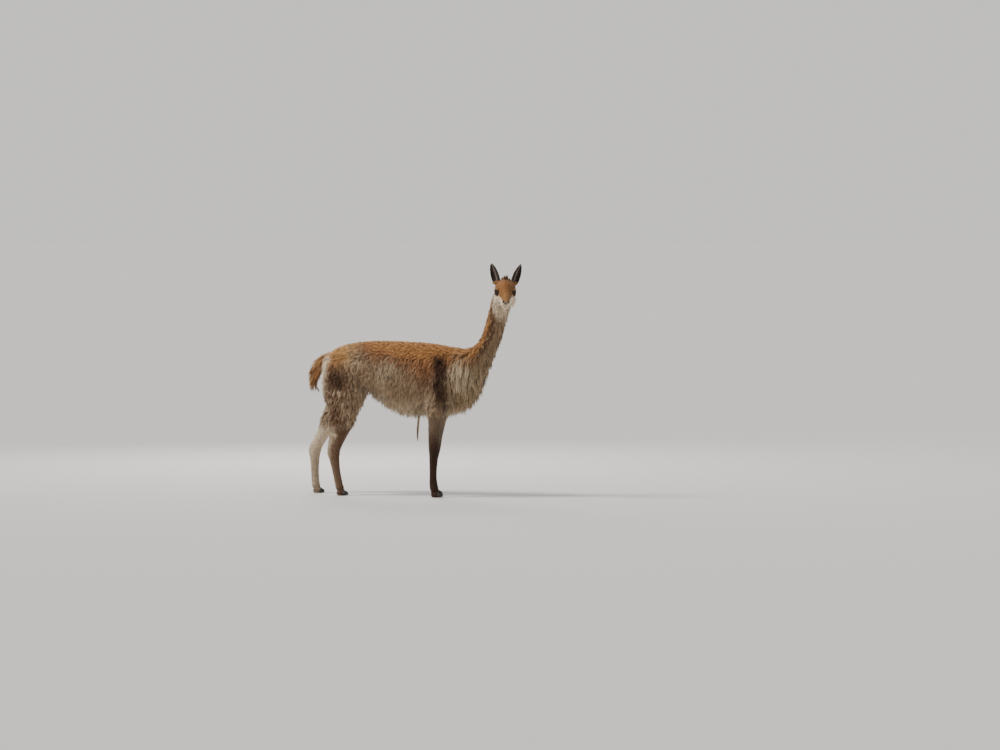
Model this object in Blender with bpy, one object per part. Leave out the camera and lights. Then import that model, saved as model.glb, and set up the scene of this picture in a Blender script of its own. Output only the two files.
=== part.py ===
"""A life-size vicuna that stands with its head turned to its right, as a still museum model.

The flesh is modelled whole from egg-shaped rings and smoothed into one surface. Flat, tapered locks
of the long coat and round clumps of the curly coat are fused with it, and the whole is parted with
thin cuts into head, neck, torso and legs. Tail, ears, eyes and nails are pieces of their own, which
meet the flesh face to face. Metres, +Z up, +X the way the body faces, +Y the animal's left side.
"""

import math
import random

import bmesh
import bpy
from mathutils import Matrix, Vector
from mathutils.bvhtree import BVHTree

# Driving dimensions
ORIGIN_SHIFT = Vector((-0.063, 0.014, 0))
GAP = 0.0003
MERGE = 2e-7
RING_POINTS = 24
VOXEL = 0.0035
SMOOTH_PASSES = 8
HEAD_TRIANGLES = 2050
BODY_TRIANGLES = 2600
SEED = 7

X, Y, Z = Vector((1, 0, 0)), Vector((0, 1, 0)), Vector((0, 0, 1))

# Torso: x, top, bottom, half width, height of the widest place
TORSO = (
    (-0.462, 0.765, 0.690, 0.030, 0.730),
    (-0.440, 0.796, 0.640, 0.080, 0.720),
    (-0.400, 0.824, 0.590, 0.116, 0.705),
    (-0.340, 0.850, 0.570, 0.134, 0.695),
    (-0.260, 0.867, 0.590, 0.139, 0.700),
    (-0.190, 0.873, 0.598, 0.138, 0.705),
    (-0.120, 0.875, 0.572, 0.136, 0.700),
    (-0.040, 0.875, 0.526, 0.137, 0.690),
    (0.050, 0.872, 0.498, 0.138, 0.680),
    (0.140, 0.867, 0.500, 0.136, 0.680),
    (0.220, 0.858, 0.506, 0.128, 0.685),
    (0.300, 0.845, 0.506, 0.115, 0.690),
    (0.370, 0.834, 0.526, 0.100, 0.700),
    (0.420, 0.820, 0.566, 0.082, 0.710),
    (0.452, 0.795, 0.625, 0.062, 0.718),
    (0.472, 0.760, 0.680, 0.030, 0.722),
)

# Neck: centre x, y, z, half depth to the back, half depth to the throat, half width
NECK = (
    (0.350, 0.000, 0.710, 0.108, 0.100, 0.080),
    (0.415, 0.000, 0.750, 0.096, 0.092, 0.076),
    (0.466, 0.000, 0.793, 0.076, 0.074, 0.068),
    (0.507, 0.000, 0.858, 0.061, 0.062, 0.059),
    (0.538, -0.002, 0.935, 0.059, 0.061, 0.057),
    (0.558, -0.006, 1.005, 0.058, 0.061, 0.056),
    (0.576, -0.014, 1.065, 0.058, 0.062, 0.058),
    (0.592, -0.028, 1.118, 0.053, 0.057, 0.057),
    (0.604, -0.042, 1.148, 0.030, 0.030, 0.034),
)

# Front leg: height, centre x and y, half length fore and aft, half width
FRONT_LEG_RIGHT = (
    (0.740, 0.235, -0.080, 0.050, 0.030),
    (0.680, 0.250, -0.092, 0.084, 0.048),
    (0.600, 0.248, -0.096, 0.088, 0.050),
    (0.520, 0.232, -0.092, 0.066, 0.046),
    (0.450, 0.220, -0.088, 0.046, 0.038),
    (0.380, 0.216, -0.086, 0.039, 0.034),
    (0.320, 0.214, -0.085, 0.034, 0.030),
    (0.270, 0.215, -0.084, 0.032, 0.029),
    (0.235, 0.213, -0.083, 0.028, 0.026),
    (0.190, 0.209, -0.082, 0.0235, 0.022),
    (0.120, 0.208, -0.081, 0.0215, 0.020),
    (0.075, 0.209, -0.080, 0.0235, 0.023),
    (0.045, 0.214, -0.080, 0.0225, 0.024),
    (0.026, 0.219, -0.080, 0.0200, 0.022),
)
FRONT_LEG_LEFT = (
    (0.740, 0.235, 0.080, 0.050, 0.030),
    (0.680, 0.250, 0.092, 0.084, 0.048),
    (0.600, 0.248, 0.096, 0.088, 0.050),
    (0.520, 0.226, 0.092, 0.066, 0.046),
    (0.450, 0.204, 0.086, 0.047, 0.038),
    (0.380, 0.188, 0.082, 0.040, 0.034),
    (0.320, 0.178, 0.079, 0.034, 0.030),
    (0.270, 0.172, 0.077, 0.032, 0.029),
    (0.235, 0.168, 0.076, 0.028, 0.026),
    (0.190, 0.163, 0.075, 0.0235, 0.022),
    (0.120, 0.160, 0.073, 0.0215, 0.020),
    (0.075, 0.161, 0.072, 0.0235, 0.023),
    (0.045, 0.166, 0.072, 0.0225, 0.024),
    (0.026, 0.171, 0.072, 0.0200, 0.022),
)

# Hind leg, as the front leg
HIND_LEG_RIGHT = (
    (0.790, -0.330, -0.070, 0.050, 0.030),
    (0.740, -0.325, -0.082, 0.098, 0.052),
    (0.670, -0.318, -0.092, 0.118, 0.062),
    (0.600, -0.312, -0.095, 0.122, 0.064),
    (0.540, -0.306, -0.096, 0.112, 0.062),
    (0.485, -0.309, -0.096, 0.086, 0.056),
    (0.425, -0.322, -0.095, 0.073, 0.047),
    (0.360, -0.339, -0.094, 0.060, 0.041),
    (0.300, -0.361, -0.092, 0.046, 0.034),
    (0.262, -0.373, -0.091, 0.040, 0.030),
    (0.232, -0.376, -0.090, 0.037, 0.028),
    (0.195, -0.371, -0.089, 0.030, 0.025),
    (0.130, -0.360, -0.087, 0.0245, 0.021),
    (0.080, -0.350, -0.086, 0.0240, 0.022),
    (0.045, -0.342, -0.085, 0.0230, 0.023),
    (0.026, -0.337, -0.085, 0.0200, 0.021),
)
HIND_LEG_LEFT = (
    (0.790, -0.335, 0.070, 0.050, 0.030),
    (0.740, -0.335, 0.082, 0.098, 0.052),
    (0.670, -0.335, 0.092, 0.116, 0.062),
    (0.600, -0.345, 0.095, 0.116, 0.064),
    (0.540, -0.365, 0.096, 0.106, 0.062),
    (0.485, -0.398, 0.095, 0.088, 0.056),
    (0.425, -0.440, 0.093, 0.068, 0.047),
    (0.360, -0.482, 0.091, 0.052, 0.039),
    (0.300, -0.524, 0.088, 0.041, 0.032),
    (0.262, -0.543, 0.086, 0.039, 0.029),
    (0.232, -0.550, 0.085, 0.036, 0.028),
    (0.195, -0.550, 0.084, 0.029, 0.025),
    (0.130, -0.548, 0.082, 0.0245, 0.021),
    (0.080, -0.546, 0.081, 0.0240, 0.022),
    (0.045, -0.541, 0.080, 0.0230, 0.023),
    (0.026, -0.536, 0.080, 0.0200, 0.021),
)

# Toes: two to a foot, each an ellipsoid that reaches below the floor and is cut flat there
TOE_HALF = Vector((0.027, 0.0125, 0.020))
TOE_SPREAD = 0.0145
TOE_SPLAY = math.radians(7)
TOE_FORWARD = 0.006
TOE_HEIGHT = 0.013
NAIL_HALF = Vector((0.0140, 0.0095, 0.0105))
NAIL_FORWARD = 0.021

# Head, in its own frame: +X to the nose, origin midway between the eyes.
# Each ring is x, top, bottom, half width, height of the widest place
HEAD = (
    (-0.098, 0.030, -0.024, 0.028, 0.004),
    (-0.082, 0.057, -0.054, 0.050, 0.002),
    (-0.056, 0.071, -0.072, 0.060, 0.000),
    (-0.024, 0.073, -0.076, 0.062, -0.004),
    (0.004, 0.064, -0.072, 0.0528, -0.006),
    (0.028, 0.045, -0.060, 0.042, -0.010),
    (0.052, 0.027, -0.054, 0.033, -0.014),
    (0.076, 0.013, -0.050, 0.0285, -0.018),
    (0.097, 0.005, -0.047, 0.0260, -0.021),
    (0.112, -0.001, -0.043, 0.0215, -0.022),
    (0.120, -0.010, -0.036, 0.0130, -0.023),
)
HEAD_PLACE = Vector((0.634, -0.100, 1.142))
HEAD_YAW = math.radians(-72)
HEAD_PITCH = math.radians(17)
HEAD_ROLL = math.radians(-2)

EYE_PLACE = Vector((0.008, 0.0415, 0.006))
EYE_RADIUS = 0.0160
GAZE = Vector((0.56, 0.82, 0.06))
LID_POINTS = 12
LID_HALF_LENGTH = math.radians(59)
LID_RISE = math.radians(40)
LID_FALL = math.radians(44)
LID_THICK = 0.0026
LID_ROUND = 6
LID_STAND = 0.15
UPPER_LID, LOWER_LID = 1.25, 0.9
LID_CORNER = 0.75
NOSTRIL_PLACE = Vector((0.1155, 0.0125, -0.0135))
NOSTRIL_HALF = Vector((0.0100, 0.0030, 0.0056))
NOSTRIL_YAW = math.radians(38)
NOSTRIL_SLANT = math.radians(28)
MOUTH_LINE = ((0.066, -0.0375), (0.082, -0.0405), (0.100, -0.0428), (0.130, -0.0415))
MOUTH_HALF_WIDTH = 0.040
MOUTH_GAP = 0.0016
CLEFT_PLACE = Vector((0.121, 0, -0.0290))
CLEFT_HALF = Vector((0.0060, 0.0014, 0.0125))

EAR_LENGTH = 0.114
EAR_HALF_WIDTH = 0.0270
EAR_CUP = 0.013
EAR_FULLNESS = 0.62
EAR_WALL = 0.0036
EAR_STEPS = 8
EAR_ARC = 6
EAR_ROOT_PLACE = Vector((-0.006, 0, -0.002))
EAR_ROOT_HALF = Vector((0.012, 0.0160, 0.0172))
EAR_PLACE = Vector((-0.044, 0.048, 0.042))
EAR_LEAN = Vector((-0.24, 0.29, 0.92))
EAR_TURN = math.radians(32)

# Tail: centre x, z, half thickness, half width
TAIL = (
    (-0.425, 0.772, 0.026, 0.028),
    (-0.462, 0.758, 0.026, 0.030),
    (-0.496, 0.726, 0.022, 0.028),
    (-0.516, 0.684, 0.017, 0.024),
    (-0.524, 0.644, 0.011, 0.016),
    (-0.526, 0.624, 0.005, 0.006),
)

# Locks of the long coat: length, width and thickness of a middling one
FLANK_LOCK = (0.138, 0.072, 0.021)
BELLY_LOCK = (0.105, 0.062, 0.019)
CHEST_LOCK = (0.122, 0.070, 0.022)
NECK_LOCK = (0.075, 0.040, 0.014)
TAIL_LOCK = (0.092, 0.046, 0.016)
TAIL_LEVELS = (0.735, 0.690, 0.645)
TAIL_LOCKS_ROUND = 4
CROWN_LOCK = (0.036, 0.020, 0.010)
CROWN_PLACES = ((-0.056, 0.000), (-0.042, 0.014), (-0.040, -0.014), (-0.026, 0.001))
CROWN_LIE = Vector((0.8, 20, 0.5))
LONG_LOCK = (0.190, 0.013, 0.008)
LONG_LOCK_PLACE = (0.128, -0.055)
LONG_LIE = Vector((-0.2, 0, -1))
LOCK_SHAPE = ((0.80, 0.9), (1.0, 1.0), (0.70, 0.66))
SIZE_SPREAD = (0.88, 1.12)

# How far the steps of a lock stand clear of the surface, and how far it turns down towards its tip
COAT_CLEAR = (0.009, 0.010, 0.006)
TAIL_CLEAR = (0.004, 0.005, 0.004)
CROWN_CLEAR = (0.005, 0.008, 0.009)
FLANK_HANG, BELLY_HANG, CHEST_HANG, NECK_HANG, TAIL_HANG, LONG_HANG = 0.35, 0.85, 0.6, 0.3, 0.25, 1.0

# Where the locks grow. Angles are in degrees above the level, round the core of the torso
FLANK_ROWS = (-7, -38)
FLANK_REACH = (-0.150, 0.415)
FLANK_STEP = 0.080
FLANK_JITTER, ANGLE_JITTER = 0.012, 5
BACKWARD = (-0.42, -0.08)
BELLY_ROWS = (-76, -104)
CHEST_LEVELS = (0.790, 0.728, 0.666, 0.604)
CHEST_SPREAD = (-0.060, 0.0, 0.060)
CHEST_TOP_SPREAD, CHEST_WIDENING, CHEST_FAN = 0.80, 3, 0.4
CHEST_STAGGER, CHEST_JITTER = 0.013, 0.006
FORWARD_OF_CHEST = 0.8
NECK_LEVELS = (0.930, 0.870)
NECK_ANGLES = ((-54, -18, 18, 54), (-42, -6, 30, 66))
NECK_LEAN = (0.33, 0.22)
CLUMP_RADIUS = 0.041
CLUMP_LONG, CLUMP_WIDE, CLUMP_HIGH = (0.9, 1.2), (0.75, 0.95), 0.72
CLUMP_SINK = 0.18
CLUMP_ANGLES = ((-68, -18), (-48, 6))
CLUMP_JITTER = 7
LOWEST_CLUMP = 0.55
CLUMP_LEVELS = (0.685, 0.632, 0.579, 0.526, 0.474, 0.424, 0.379)
CORE_HEIGHT = 0.68
LOWEST_ROOT = 0.470

# Planes of the cuts: a point and the normal that points to the part that is cut off
NECK_CUT = (Vector((0.470, 0, 0.775)), Vector((0.74, 0, 0.67)))
HEAD_CUT_LOCAL = (Vector((-0.055, 0, -0.030)), Vector((0.82, 0, 0.57)))
SPARE_AT_CUT = 0.005
HIND_CUT_FRONT = -0.172
HIND_CUT_TOP = (Vector((-0.300, 0, 0.640)), Vector((0.28, 0, -0.96)))
HIND_CUT_KNEE = Vector((0, 0, 0.345))
FRONT_CUT_TOP = 0.520
FRONT_CUT_HALF = (0.088, 0.058)
FRONT_CUT_LEAN = 0.012
BELOW_GROUND = -0.1
POST_POINTS = 14

COLOURS = {
    "coat_back": ((0.36, 0.17, 0.07, 1), 0.9),
    "coat_leg": ((0.33, 0.26, 0.20, 1), 0.9),
    "ear_grey": ((0.16, 0.13, 0.11, 1), 0.85),
    "eye_dark": ((0.010, 0.007, 0.005, 1), 0.06),
    "nail_dark": ((0.030, 0.024, 0.020, 1), 0.5),
}


def head_matrix():
    turn = Matrix.Rotation(HEAD_YAW, 4, "Z") @ Matrix.Rotation(HEAD_PITCH, 4, "Y")
    return Matrix.Translation(HEAD_PLACE) @ turn @ Matrix.Rotation(HEAD_ROLL, 4, "X")


def smoothed(stations, steps=4):
    """The stations with `steps` parts between each two, on a Catmull-Rom curve through them all."""
    rows = []
    last = len(stations) - 1
    for i in range(last):
        before, start = stations[max(i - 1, 0)], stations[i]
        end, after = stations[i + 1], stations[min(i + 2, last)]
        for step in range(steps):
            t = step / steps
            row = []
            for p, a, b, q in zip(before, start, end, after):
                bend = 2 * p - 5 * a + 4 * b - q
                twist = 3 * (a - b) + q - p
                row.append(a + 0.5 * t * (b - p + t * (bend + t * twist)))
            rows.append(row)
    rows.append(list(stations[last]))
    return rows


def ring(centre, up, side, top, bottom, half_width, count=RING_POINTS):
    """An egg-shaped section: `top` and `bottom` are its reaches along `up` and against it."""
    points = []
    for i in range(count):
        angle = math.tau * i / count
        rise = math.sin(angle)
        reach = top if rise > 0 else bottom
        points.append(centre + side * (half_width * math.cos(angle)) + up * (reach * rise))
    return points


def add_tube(bm, rings):
    """A closed body through the rings, with flat ends."""
    rows = [[bm.verts.new(p) for p in points] for points in rings]
    count = len(rows[0])
    made = []
    for low, high in zip(rows, rows[1:]):
        for i in range(count):
            j = (i + 1) % count
            made.append(bm.faces.new((low[i], low[j], high[j], high[i])))
    made.append(bm.faces.new(rows[0][::-1]))
    made.append(bm.faces.new(rows[-1]))
    bmesh.ops.recalc_face_normals(bm, faces=made)


def add_ball(bm, place, half, turn=None, segments=20, rings=12):
    """An ellipsoid of half sizes `half` about `place`, turned by the matrix `turn`."""
    size = Matrix.Diagonal((*half, 1))
    matrix = Matrix.Translation(place) @ (turn or Matrix.Identity(4)) @ size
    bmesh.ops.create_uvsphere(
        bm, u_segments=segments, v_segments=rings, radius=1, matrix=matrix
    )


def upright_rings(stations):
    """Level rings, as a leg's, from rows of height, x, y, half length and half width."""
    return [
        ring(Vector((x, y, z)), X, Y, length, length, width)
        for z, x, y, length, width in smoothed(stations)
    ]


def lengthwise_rings(stations):
    """Rings across the X axis, as a torso's, from rows of x, top, bottom, half width and widest height."""
    return [
        ring(Vector((x, 0, widest)), Z, Y, top - widest, widest - bottom, width)
        for x, top, bottom, width, widest in smoothed(stations)
    ]


def neck_rings():
    """Rings square to the neck's own line."""
    rows = smoothed(NECK)
    centres = [Vector(row[:3]) for row in rows]
    rings = []
    for i, (row, centre) in enumerate(zip(rows, centres)):
        along = (centres[min(i + 1, len(rows) - 1)] - centres[max(i - 1, 0)]).normalized()
        back = (Y.cross(along) * -1).normalized()
        rings.append(ring(centre, back, Y, row[3], row[4], row[5]))
    return rings


def add_foot(bm, ankle):
    """Two toes that splay from the ankle's last ring."""
    _, x, y, _, _ = ankle
    for side in (-1, 1):
        turn = Matrix.Rotation(side * TOE_SPLAY, 4, "Z")
        add_ball(bm, (x + TOE_FORWARD, y + side * TOE_SPREAD, TOE_HEIGHT), TOE_HALF, turn)


def add_head(bm):
    """The skull, cheeks, brows, muzzle and lips in the head's frame."""
    add_tube(bm, lengthwise_rings(HEAD))
    for side in (-1, 1):
        add_ball(bm, (-0.002, side * 0.0410, 0.007), (0.031, 0.0160, 0.025))
        add_ball(bm, (-0.034, side * 0.034, -0.040), (0.048, 0.029, 0.043))
        add_ball(bm, (0.004, side * 0.0450, 0.0260), (0.022, 0.0085, 0.0075))
        add_ball(bm, (0.105, side * 0.0115, -0.0125), (0.015, 0.0105, 0.0105))
        add_ball(bm, (0.100, side * 0.0130, -0.0310), (0.020, 0.0125, 0.0115))
    add_ball(bm, (0.090, 0, -0.0505), (0.0255, 0.0175, 0.0115))
    add_ball(bm, (0.050, 0, -0.0460), (0.0500, 0.0230, 0.0125))


def mesh_object(name, bm, matrix=None):
    """A new object that holds the bmesh, which is freed."""
    mesh = bpy.data.meshes.new(name)
    if matrix is not None:
        bm.transform(matrix)
    bm.to_mesh(mesh)
    bm.free()
    obj = bpy.data.objects.new(name, mesh)
    bpy.context.scene.collection.objects.link(obj)
    return obj


def apply_modifiers(obj):
    """Puts what the modifiers make into the object's own mesh."""
    bpy.context.view_layer.update()
    graph = bpy.context.evaluated_depsgraph_get()
    made = bpy.data.meshes.new_from_object(obj.evaluated_get(graph))
    obj.modifiers.clear()
    old = obj.data
    obj.data = made
    bpy.data.meshes.remove(old)


def whole_flesh():
    """Torso, neck, head and legs as one smooth closed surface."""
    bm = bmesh.new()
    add_head(bm)
    bm.transform(head_matrix())
    add_tube(bm, lengthwise_rings(TORSO))
    add_tube(bm, neck_rings())
    for leg in (FRONT_LEG_RIGHT, FRONT_LEG_LEFT, HIND_LEG_RIGHT, HIND_LEG_LEFT):
        add_tube(bm, upright_rings(leg))
        add_foot(bm, leg[-1])
    flesh = mesh_object("flesh", bm)
    remesh = flesh.modifiers.new("One surface", "REMESH")
    remesh.mode = "VOXEL"
    remesh.voxel_size = VOXEL
    smooth = flesh.modifiers.new("Smooth", "SMOOTH")
    smooth.factor = 0.5
    smooth.iterations = SMOOTH_PASSES
    apply_modifiers(flesh)
    return flesh


def thin_out(obj, triangles):
    fewer = obj.modifiers.new("Fewer", "DECIMATE")
    fewer.use_collapse_triangulate = True
    obj.data.calc_loop_triangles()
    fewer.ratio = triangles / len(obj.data.loop_triangles)
    apply_modifiers(obj)


def copied(obj, name):
    twin = obj.copy()
    twin.data = obj.data.copy()
    twin.name = name
    bpy.context.scene.collection.objects.link(twin)
    return twin


def keep_side(obj, point, normal):
    """Cuts the object by a plane and keeps what lies along the normal, half a gap clear of it."""
    normal = normal.normalized()
    bm = bmesh.new()
    bm.from_mesh(obj.data)
    cut = bmesh.ops.bisect_plane(
        bm,
        geom=bm.verts[:] + bm.edges[:] + bm.faces[:],
        plane_co=point + normal * (GAP / 2),
        plane_no=normal,
        clear_inner=True,
    )
    edges = [e for e in cut["geom_cut"] if isinstance(e, bmesh.types.BMEdge)]
    bmesh.ops.holes_fill(bm, edges=edges, sides=0)
    bmesh.ops.triangulate(bm, faces=bm.faces[:])
    bmesh.ops.recalc_face_normals(bm, faces=bm.faces[:])
    bm.to_mesh(obj.data)
    bm.free()


def join_or_cut(obj, others, operation, solver="EXACT"):
    """One Boolean of the object and a collection of others, which are then removed.

    Between closed bodies MANIFOLD leaves no open edges, where EXACT left a few at the locks.
    """
    group = bpy.data.collections.new("operands")
    bpy.context.scene.collection.children.link(group)
    for other in others:
        bpy.context.scene.collection.objects.unlink(other)
        group.objects.link(other)
    boolean = obj.modifiers.new(operation.title(), "BOOLEAN")
    boolean.operation = operation
    boolean.operand_type = "COLLECTION"
    boolean.collection = group
    boolean.solver = solver
    apply_modifiers(obj)
    for other in others:
        bpy.data.objects.remove(other)
    bpy.data.collections.remove(group)


def keep_largest(obj):
    """Drops all but the largest closed surface, which fills any sealed hollow."""
    bm = bmesh.new()
    bm.from_mesh(obj.data)
    left = set(bm.verts)
    islands = []
    while left:
        island, edge = set(), [left.pop()]
        while edge:
            vertex = edge.pop()
            island.add(vertex)
            for link in vertex.link_edges:
                other = link.other_vert(vertex)
                if other in left:
                    left.remove(other)
                    edge.append(other)
        islands.append(island)
    islands.sort(key=len)
    spare = [v for island in islands[:-1] for v in island]
    bmesh.ops.delete(bm, geom=spare, context="VERTS")
    bm.to_mesh(obj.data)
    bm.free()


def block(name, low, high):
    """A closed box between two corners."""
    bm = bmesh.new()
    size, middle = high - low, (high + low) / 2
    matrix = Matrix.Translation(middle) @ Matrix.Diagonal((*size, 1))
    bmesh.ops.create_cube(bm, size=1, matrix=matrix)
    return mesh_object(name, bm)


def leg_post(name, stations, grow):
    """An upright prism round a front leg's top, which parts the leg from the torso."""
    _, x, y, _, _ = stations[3]
    length, width = (half + grow for half in FRONT_CUT_HALF)
    bm = bmesh.new()
    low = Vector((x - FRONT_CUT_LEAN, y, BELOW_GROUND))
    high = Vector((x, y, FRONT_CUT_TOP + grow))
    add_tube(bm, [ring(p, X, Y, length, length, width, POST_POINTS) for p in (low, high)])
    return mesh_object(name, bm)


def grow_coat(flesh):
    """Fuses the locks and clumps of neck, torso and hind legs with the flesh."""
    rng = random.Random(SEED)
    surface = surface_of(flesh)
    pieces = locks_of_torso(surface, rng) + locks_of_neck(surface, rng)
    pieces += clumps_of_leg(surface, HIND_LEG_RIGHT, -1, rng)
    pieces += clumps_of_leg(surface, HIND_LEG_LEFT, 1, rng)
    join_or_cut(flesh, pieces, "UNION", "MANIFOLD")
    keep_largest(flesh)


def part_flesh(flesh):
    """The nodes of flesh, parted with thin cuts. Each is one closed body."""
    head_cut = head_matrix() @ HEAD_CUT_LOCAL[0]
    head_normal = head_matrix().to_3x3() @ HEAD_CUT_LOCAL[1]
    nodes = {}
    spare = head_normal.normalized() * SPARE_AT_CUT
    head = nodes["head"] = copied(flesh, "head")
    keep_side(head, head_cut - spare, head_normal)
    keep_largest(head)
    thin_out(head, HEAD_TRIANGLES)
    keep_side(head, head_cut, head_normal)
    keep_side(flesh, head_cut + spare, -head_normal)
    keep_largest(flesh)
    thin_out(flesh, BODY_TRIANGLES)
    grow_coat(flesh)
    keep_side(flesh, Vector((0, 0, -GAP / 2)), Z)
    keep_side(flesh, head_cut, -head_normal)
    keep_largest(flesh)
    neck = nodes["neck"] = copied(flesh, "neck")
    keep_side(neck, *NECK_CUT)
    keep_largest(neck)
    torso = nodes["torso"] = copied(flesh, "torso")
    keep_side(torso, NECK_CUT[0], -NECK_CUT[1])
    keep_largest(torso)
    for side, name in ((-1, "right"), (1, "left")):
        leg = nodes["leg_hind_" + name] = copied(torso, "leg_hind_" + name)
        keep_side(leg, *HIND_CUT_TOP)
        keep_side(leg, Vector((HIND_CUT_FRONT, 0, 0)), -X)
        keep_side(leg, Vector((0, 0, 0)), Y * side)
        keep_largest(leg)
        thigh = nodes["thigh_" + name] = copied(leg, "thigh_" + name)
        keep_side(thigh, HIND_CUT_KNEE, Z)
        keep_largest(thigh)
        keep_side(leg, HIND_CUT_KNEE, -Z)
        keep_largest(leg)
        stations = FRONT_LEG_LEFT if side > 0 else FRONT_LEG_RIGHT
        leg = nodes["leg_front_" + name] = copied(torso, "leg_front_" + name)
        join_or_cut(leg, [leg_post("post", stations, 0)], "INTERSECT", "MANIFOLD")
        keep_largest(leg)
    hind = block("hind", Vector((-0.9, -0.5, -0.5)), Vector((HIND_CUT_FRONT + GAP / 2, 0.5, 1)))
    keep_side(hind, HIND_CUT_TOP[0] - HIND_CUT_TOP[1].normalized() * GAP, HIND_CUT_TOP[1])
    posts = [leg_post("post", s, GAP) for s in (FRONT_LEG_RIGHT, FRONT_LEG_LEFT)]
    join_or_cut(torso, [hind, *posts], "DIFFERENCE", "MANIFOLD")
    keep_largest(torso)
    return nodes


def make_tail():
    """The hanging brush of the tail, which meets the rump at its root."""
    rows = smoothed(TAIL, 2)
    centres = [Vector((x, 0, z)) for x, z, _, _ in rows]
    rings = []
    for i, (row, centre) in enumerate(zip(rows, centres)):
        along = (centres[min(i + 1, len(rows) - 1)] - centres[max(i - 1, 0)]).normalized()
        rings.append(ring(centre, Y.cross(along), Y, row[2], row[2], row[3], 8))
    bm = bmesh.new()
    add_tube(bm, rings)
    tail = mesh_object("tail", bm)
    rng = random.Random(SEED + 1)
    surface = surface_of(tail)
    locks = []
    for row, level in enumerate(TAIL_LEVELS):
        at = min(range(len(centres) - 1), key=lambda i: abs(centres[i].z - level))
        low, high = centres[at], centres[at + 1]
        for i in range(TAIL_LOCKS_ROUND):
            turn = math.tau * (i + 0.5 * (row % 2)) / TAIL_LOCKS_ROUND
            along = (high - low).normalized()
            out = Y.cross(along) * math.cos(turn) + Y * math.sin(turn)
            root, normal, _, _ = surface.ray_cast(low + out * 0.2, -out)
            if root is not None:
                locks.append(
                    make_lock(surface, root, normal, along, TAIL_LOCK, rng, TAIL_HANG, TAIL_CLEAR)
                )
    join_or_cut(tail, locks, "UNION")
    keep_largest(tail)
    return tail


def inflated(obj, name, grow=GAP):
    """A copy that is larger all round by `grow`, for cutting what meets the object."""
    twin = copied(obj, name)
    push = twin.modifiers.new("Grow", "DISPLACE")
    push.strength = grow
    push.mid_level = 0
    apply_modifiers(twin)
    return twin


def make_eye(name, side):
    bm = bmesh.new()
    place = Vector((EYE_PLACE.x, side * EYE_PLACE.y, EYE_PLACE.z))
    add_ball(bm, place, (EYE_RADIUS,) * 3, segments=14, rings=8)
    return mesh_object(name, bm, head_matrix())


def make_socket(side):
    bm = bmesh.new()
    place = Vector((EYE_PLACE.x, side * EYE_PLACE.y, EYE_PLACE.z))
    add_ball(bm, place, (EYE_RADIUS + GAP,) * 3, segments=14, rings=8)
    return mesh_object("socket", bm, head_matrix())


def make_crown(head):
    """The short tuft between the ears."""
    rng = random.Random(SEED + 2)
    surface = surface_of(head)
    matrix = head_matrix()
    locks = []
    for x, y in CROWN_PLACES:
        root, normal, _, _ = surface.ray_cast(matrix @ Vector((x, y, 0.2)), matrix.to_3x3() @ -Z)
        lie = matrix.to_3x3() @ Vector((CROWN_LIE.x, CROWN_LIE.y * y, CROWN_LIE.z))
        locks.append(make_lock(surface, root, normal, lie, CROWN_LOCK, rng, 0, CROWN_CLEAR))
    return locks


def gaze_axes(side):
    """The way one eye looks, with the ways up and ahead across it, in the head's frame."""
    gaze = Vector((GAZE.x, side * GAZE.y, GAZE.z)).normalized()
    ahead = (X - gaze * gaze.dot(X)).normalized()
    rise = gaze.cross(ahead) * side * -1
    return gaze, rise.normalized(), ahead


def make_lids(side):
    """The rim of both lids: one almond-shaped roll round the open part of the eye."""
    gaze, rise, ahead = gaze_axes(side)
    centre = Vector((EYE_PLACE.x, side * EYE_PLACE.y, EYE_PLACE.z))
    rolls = []
    for i in range(LID_POINTS):
        angle = math.tau * i / LID_POINTS
        upper = math.sin(angle) > 0
        tall = math.sin(LID_RISE if upper else LID_FALL)
        out = ahead * (math.sin(LID_HALF_LENGTH) * math.cos(angle)) + rise * (tall * math.sin(angle))
        way = (gaze * math.sqrt(1 - out.length_squared) + out).normalized()
        thick = LID_THICK * (UPPER_LID if upper else LOWER_LID)
        thick *= LID_CORNER + (1 - LID_CORNER) * abs(math.sin(angle))
        middle = centre + way * (EYE_RADIUS + LID_STAND * thick)
        around = out.normalized()
        rolls.append([
            middle + (way * math.sin(turn) + around * math.cos(turn)) * thick
            for turn in (math.tau * k / LID_ROUND for k in range(LID_ROUND))
        ])
    bm = bmesh.new()
    rows = [[bm.verts.new(p) for p in roll] for roll in rolls]
    for low, high in zip(rows, rows[1:] + rows[:1]):
        for i in range(LID_ROUND):
            j = (i + 1) % LID_ROUND
            bm.faces.new((low[i], low[j], high[j], high[i]))
    bmesh.ops.recalc_face_normals(bm, faces=bm.faces[:])
    return mesh_object("lids", bm, head_matrix())


def make_nostril(side):
    """What is cut away for a nostril: a slanting slot."""
    bm = bmesh.new()
    turn = Matrix.Rotation(side * NOSTRIL_YAW, 4, "Z") @ Matrix.Rotation(side * NOSTRIL_SLANT, 4, "X")
    add_ball(bm, (NOSTRIL_PLACE.x, side * NOSTRIL_PLACE.y, NOSTRIL_PLACE.z), NOSTRIL_HALF, turn, 10, 6)
    return mesh_object("nostril", bm, head_matrix())


def make_mouth():
    """What is cut away for the line of the mouth: a thin bent plate from the front to its corners."""
    bm = bmesh.new()
    rings = []
    for x, z in MOUTH_LINE:
        rings.append([
            Vector((x, y, z + rise))
            for y, rise in (
                (-MOUTH_HALF_WIDTH, -MOUTH_GAP / 2),
                (MOUTH_HALF_WIDTH, -MOUTH_GAP / 2),
                (MOUTH_HALF_WIDTH, MOUTH_GAP / 2),
                (-MOUTH_HALF_WIDTH, MOUTH_GAP / 2),
            )
        ])
    add_tube(bm, rings)
    return mesh_object("mouth", bm, head_matrix())


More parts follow.
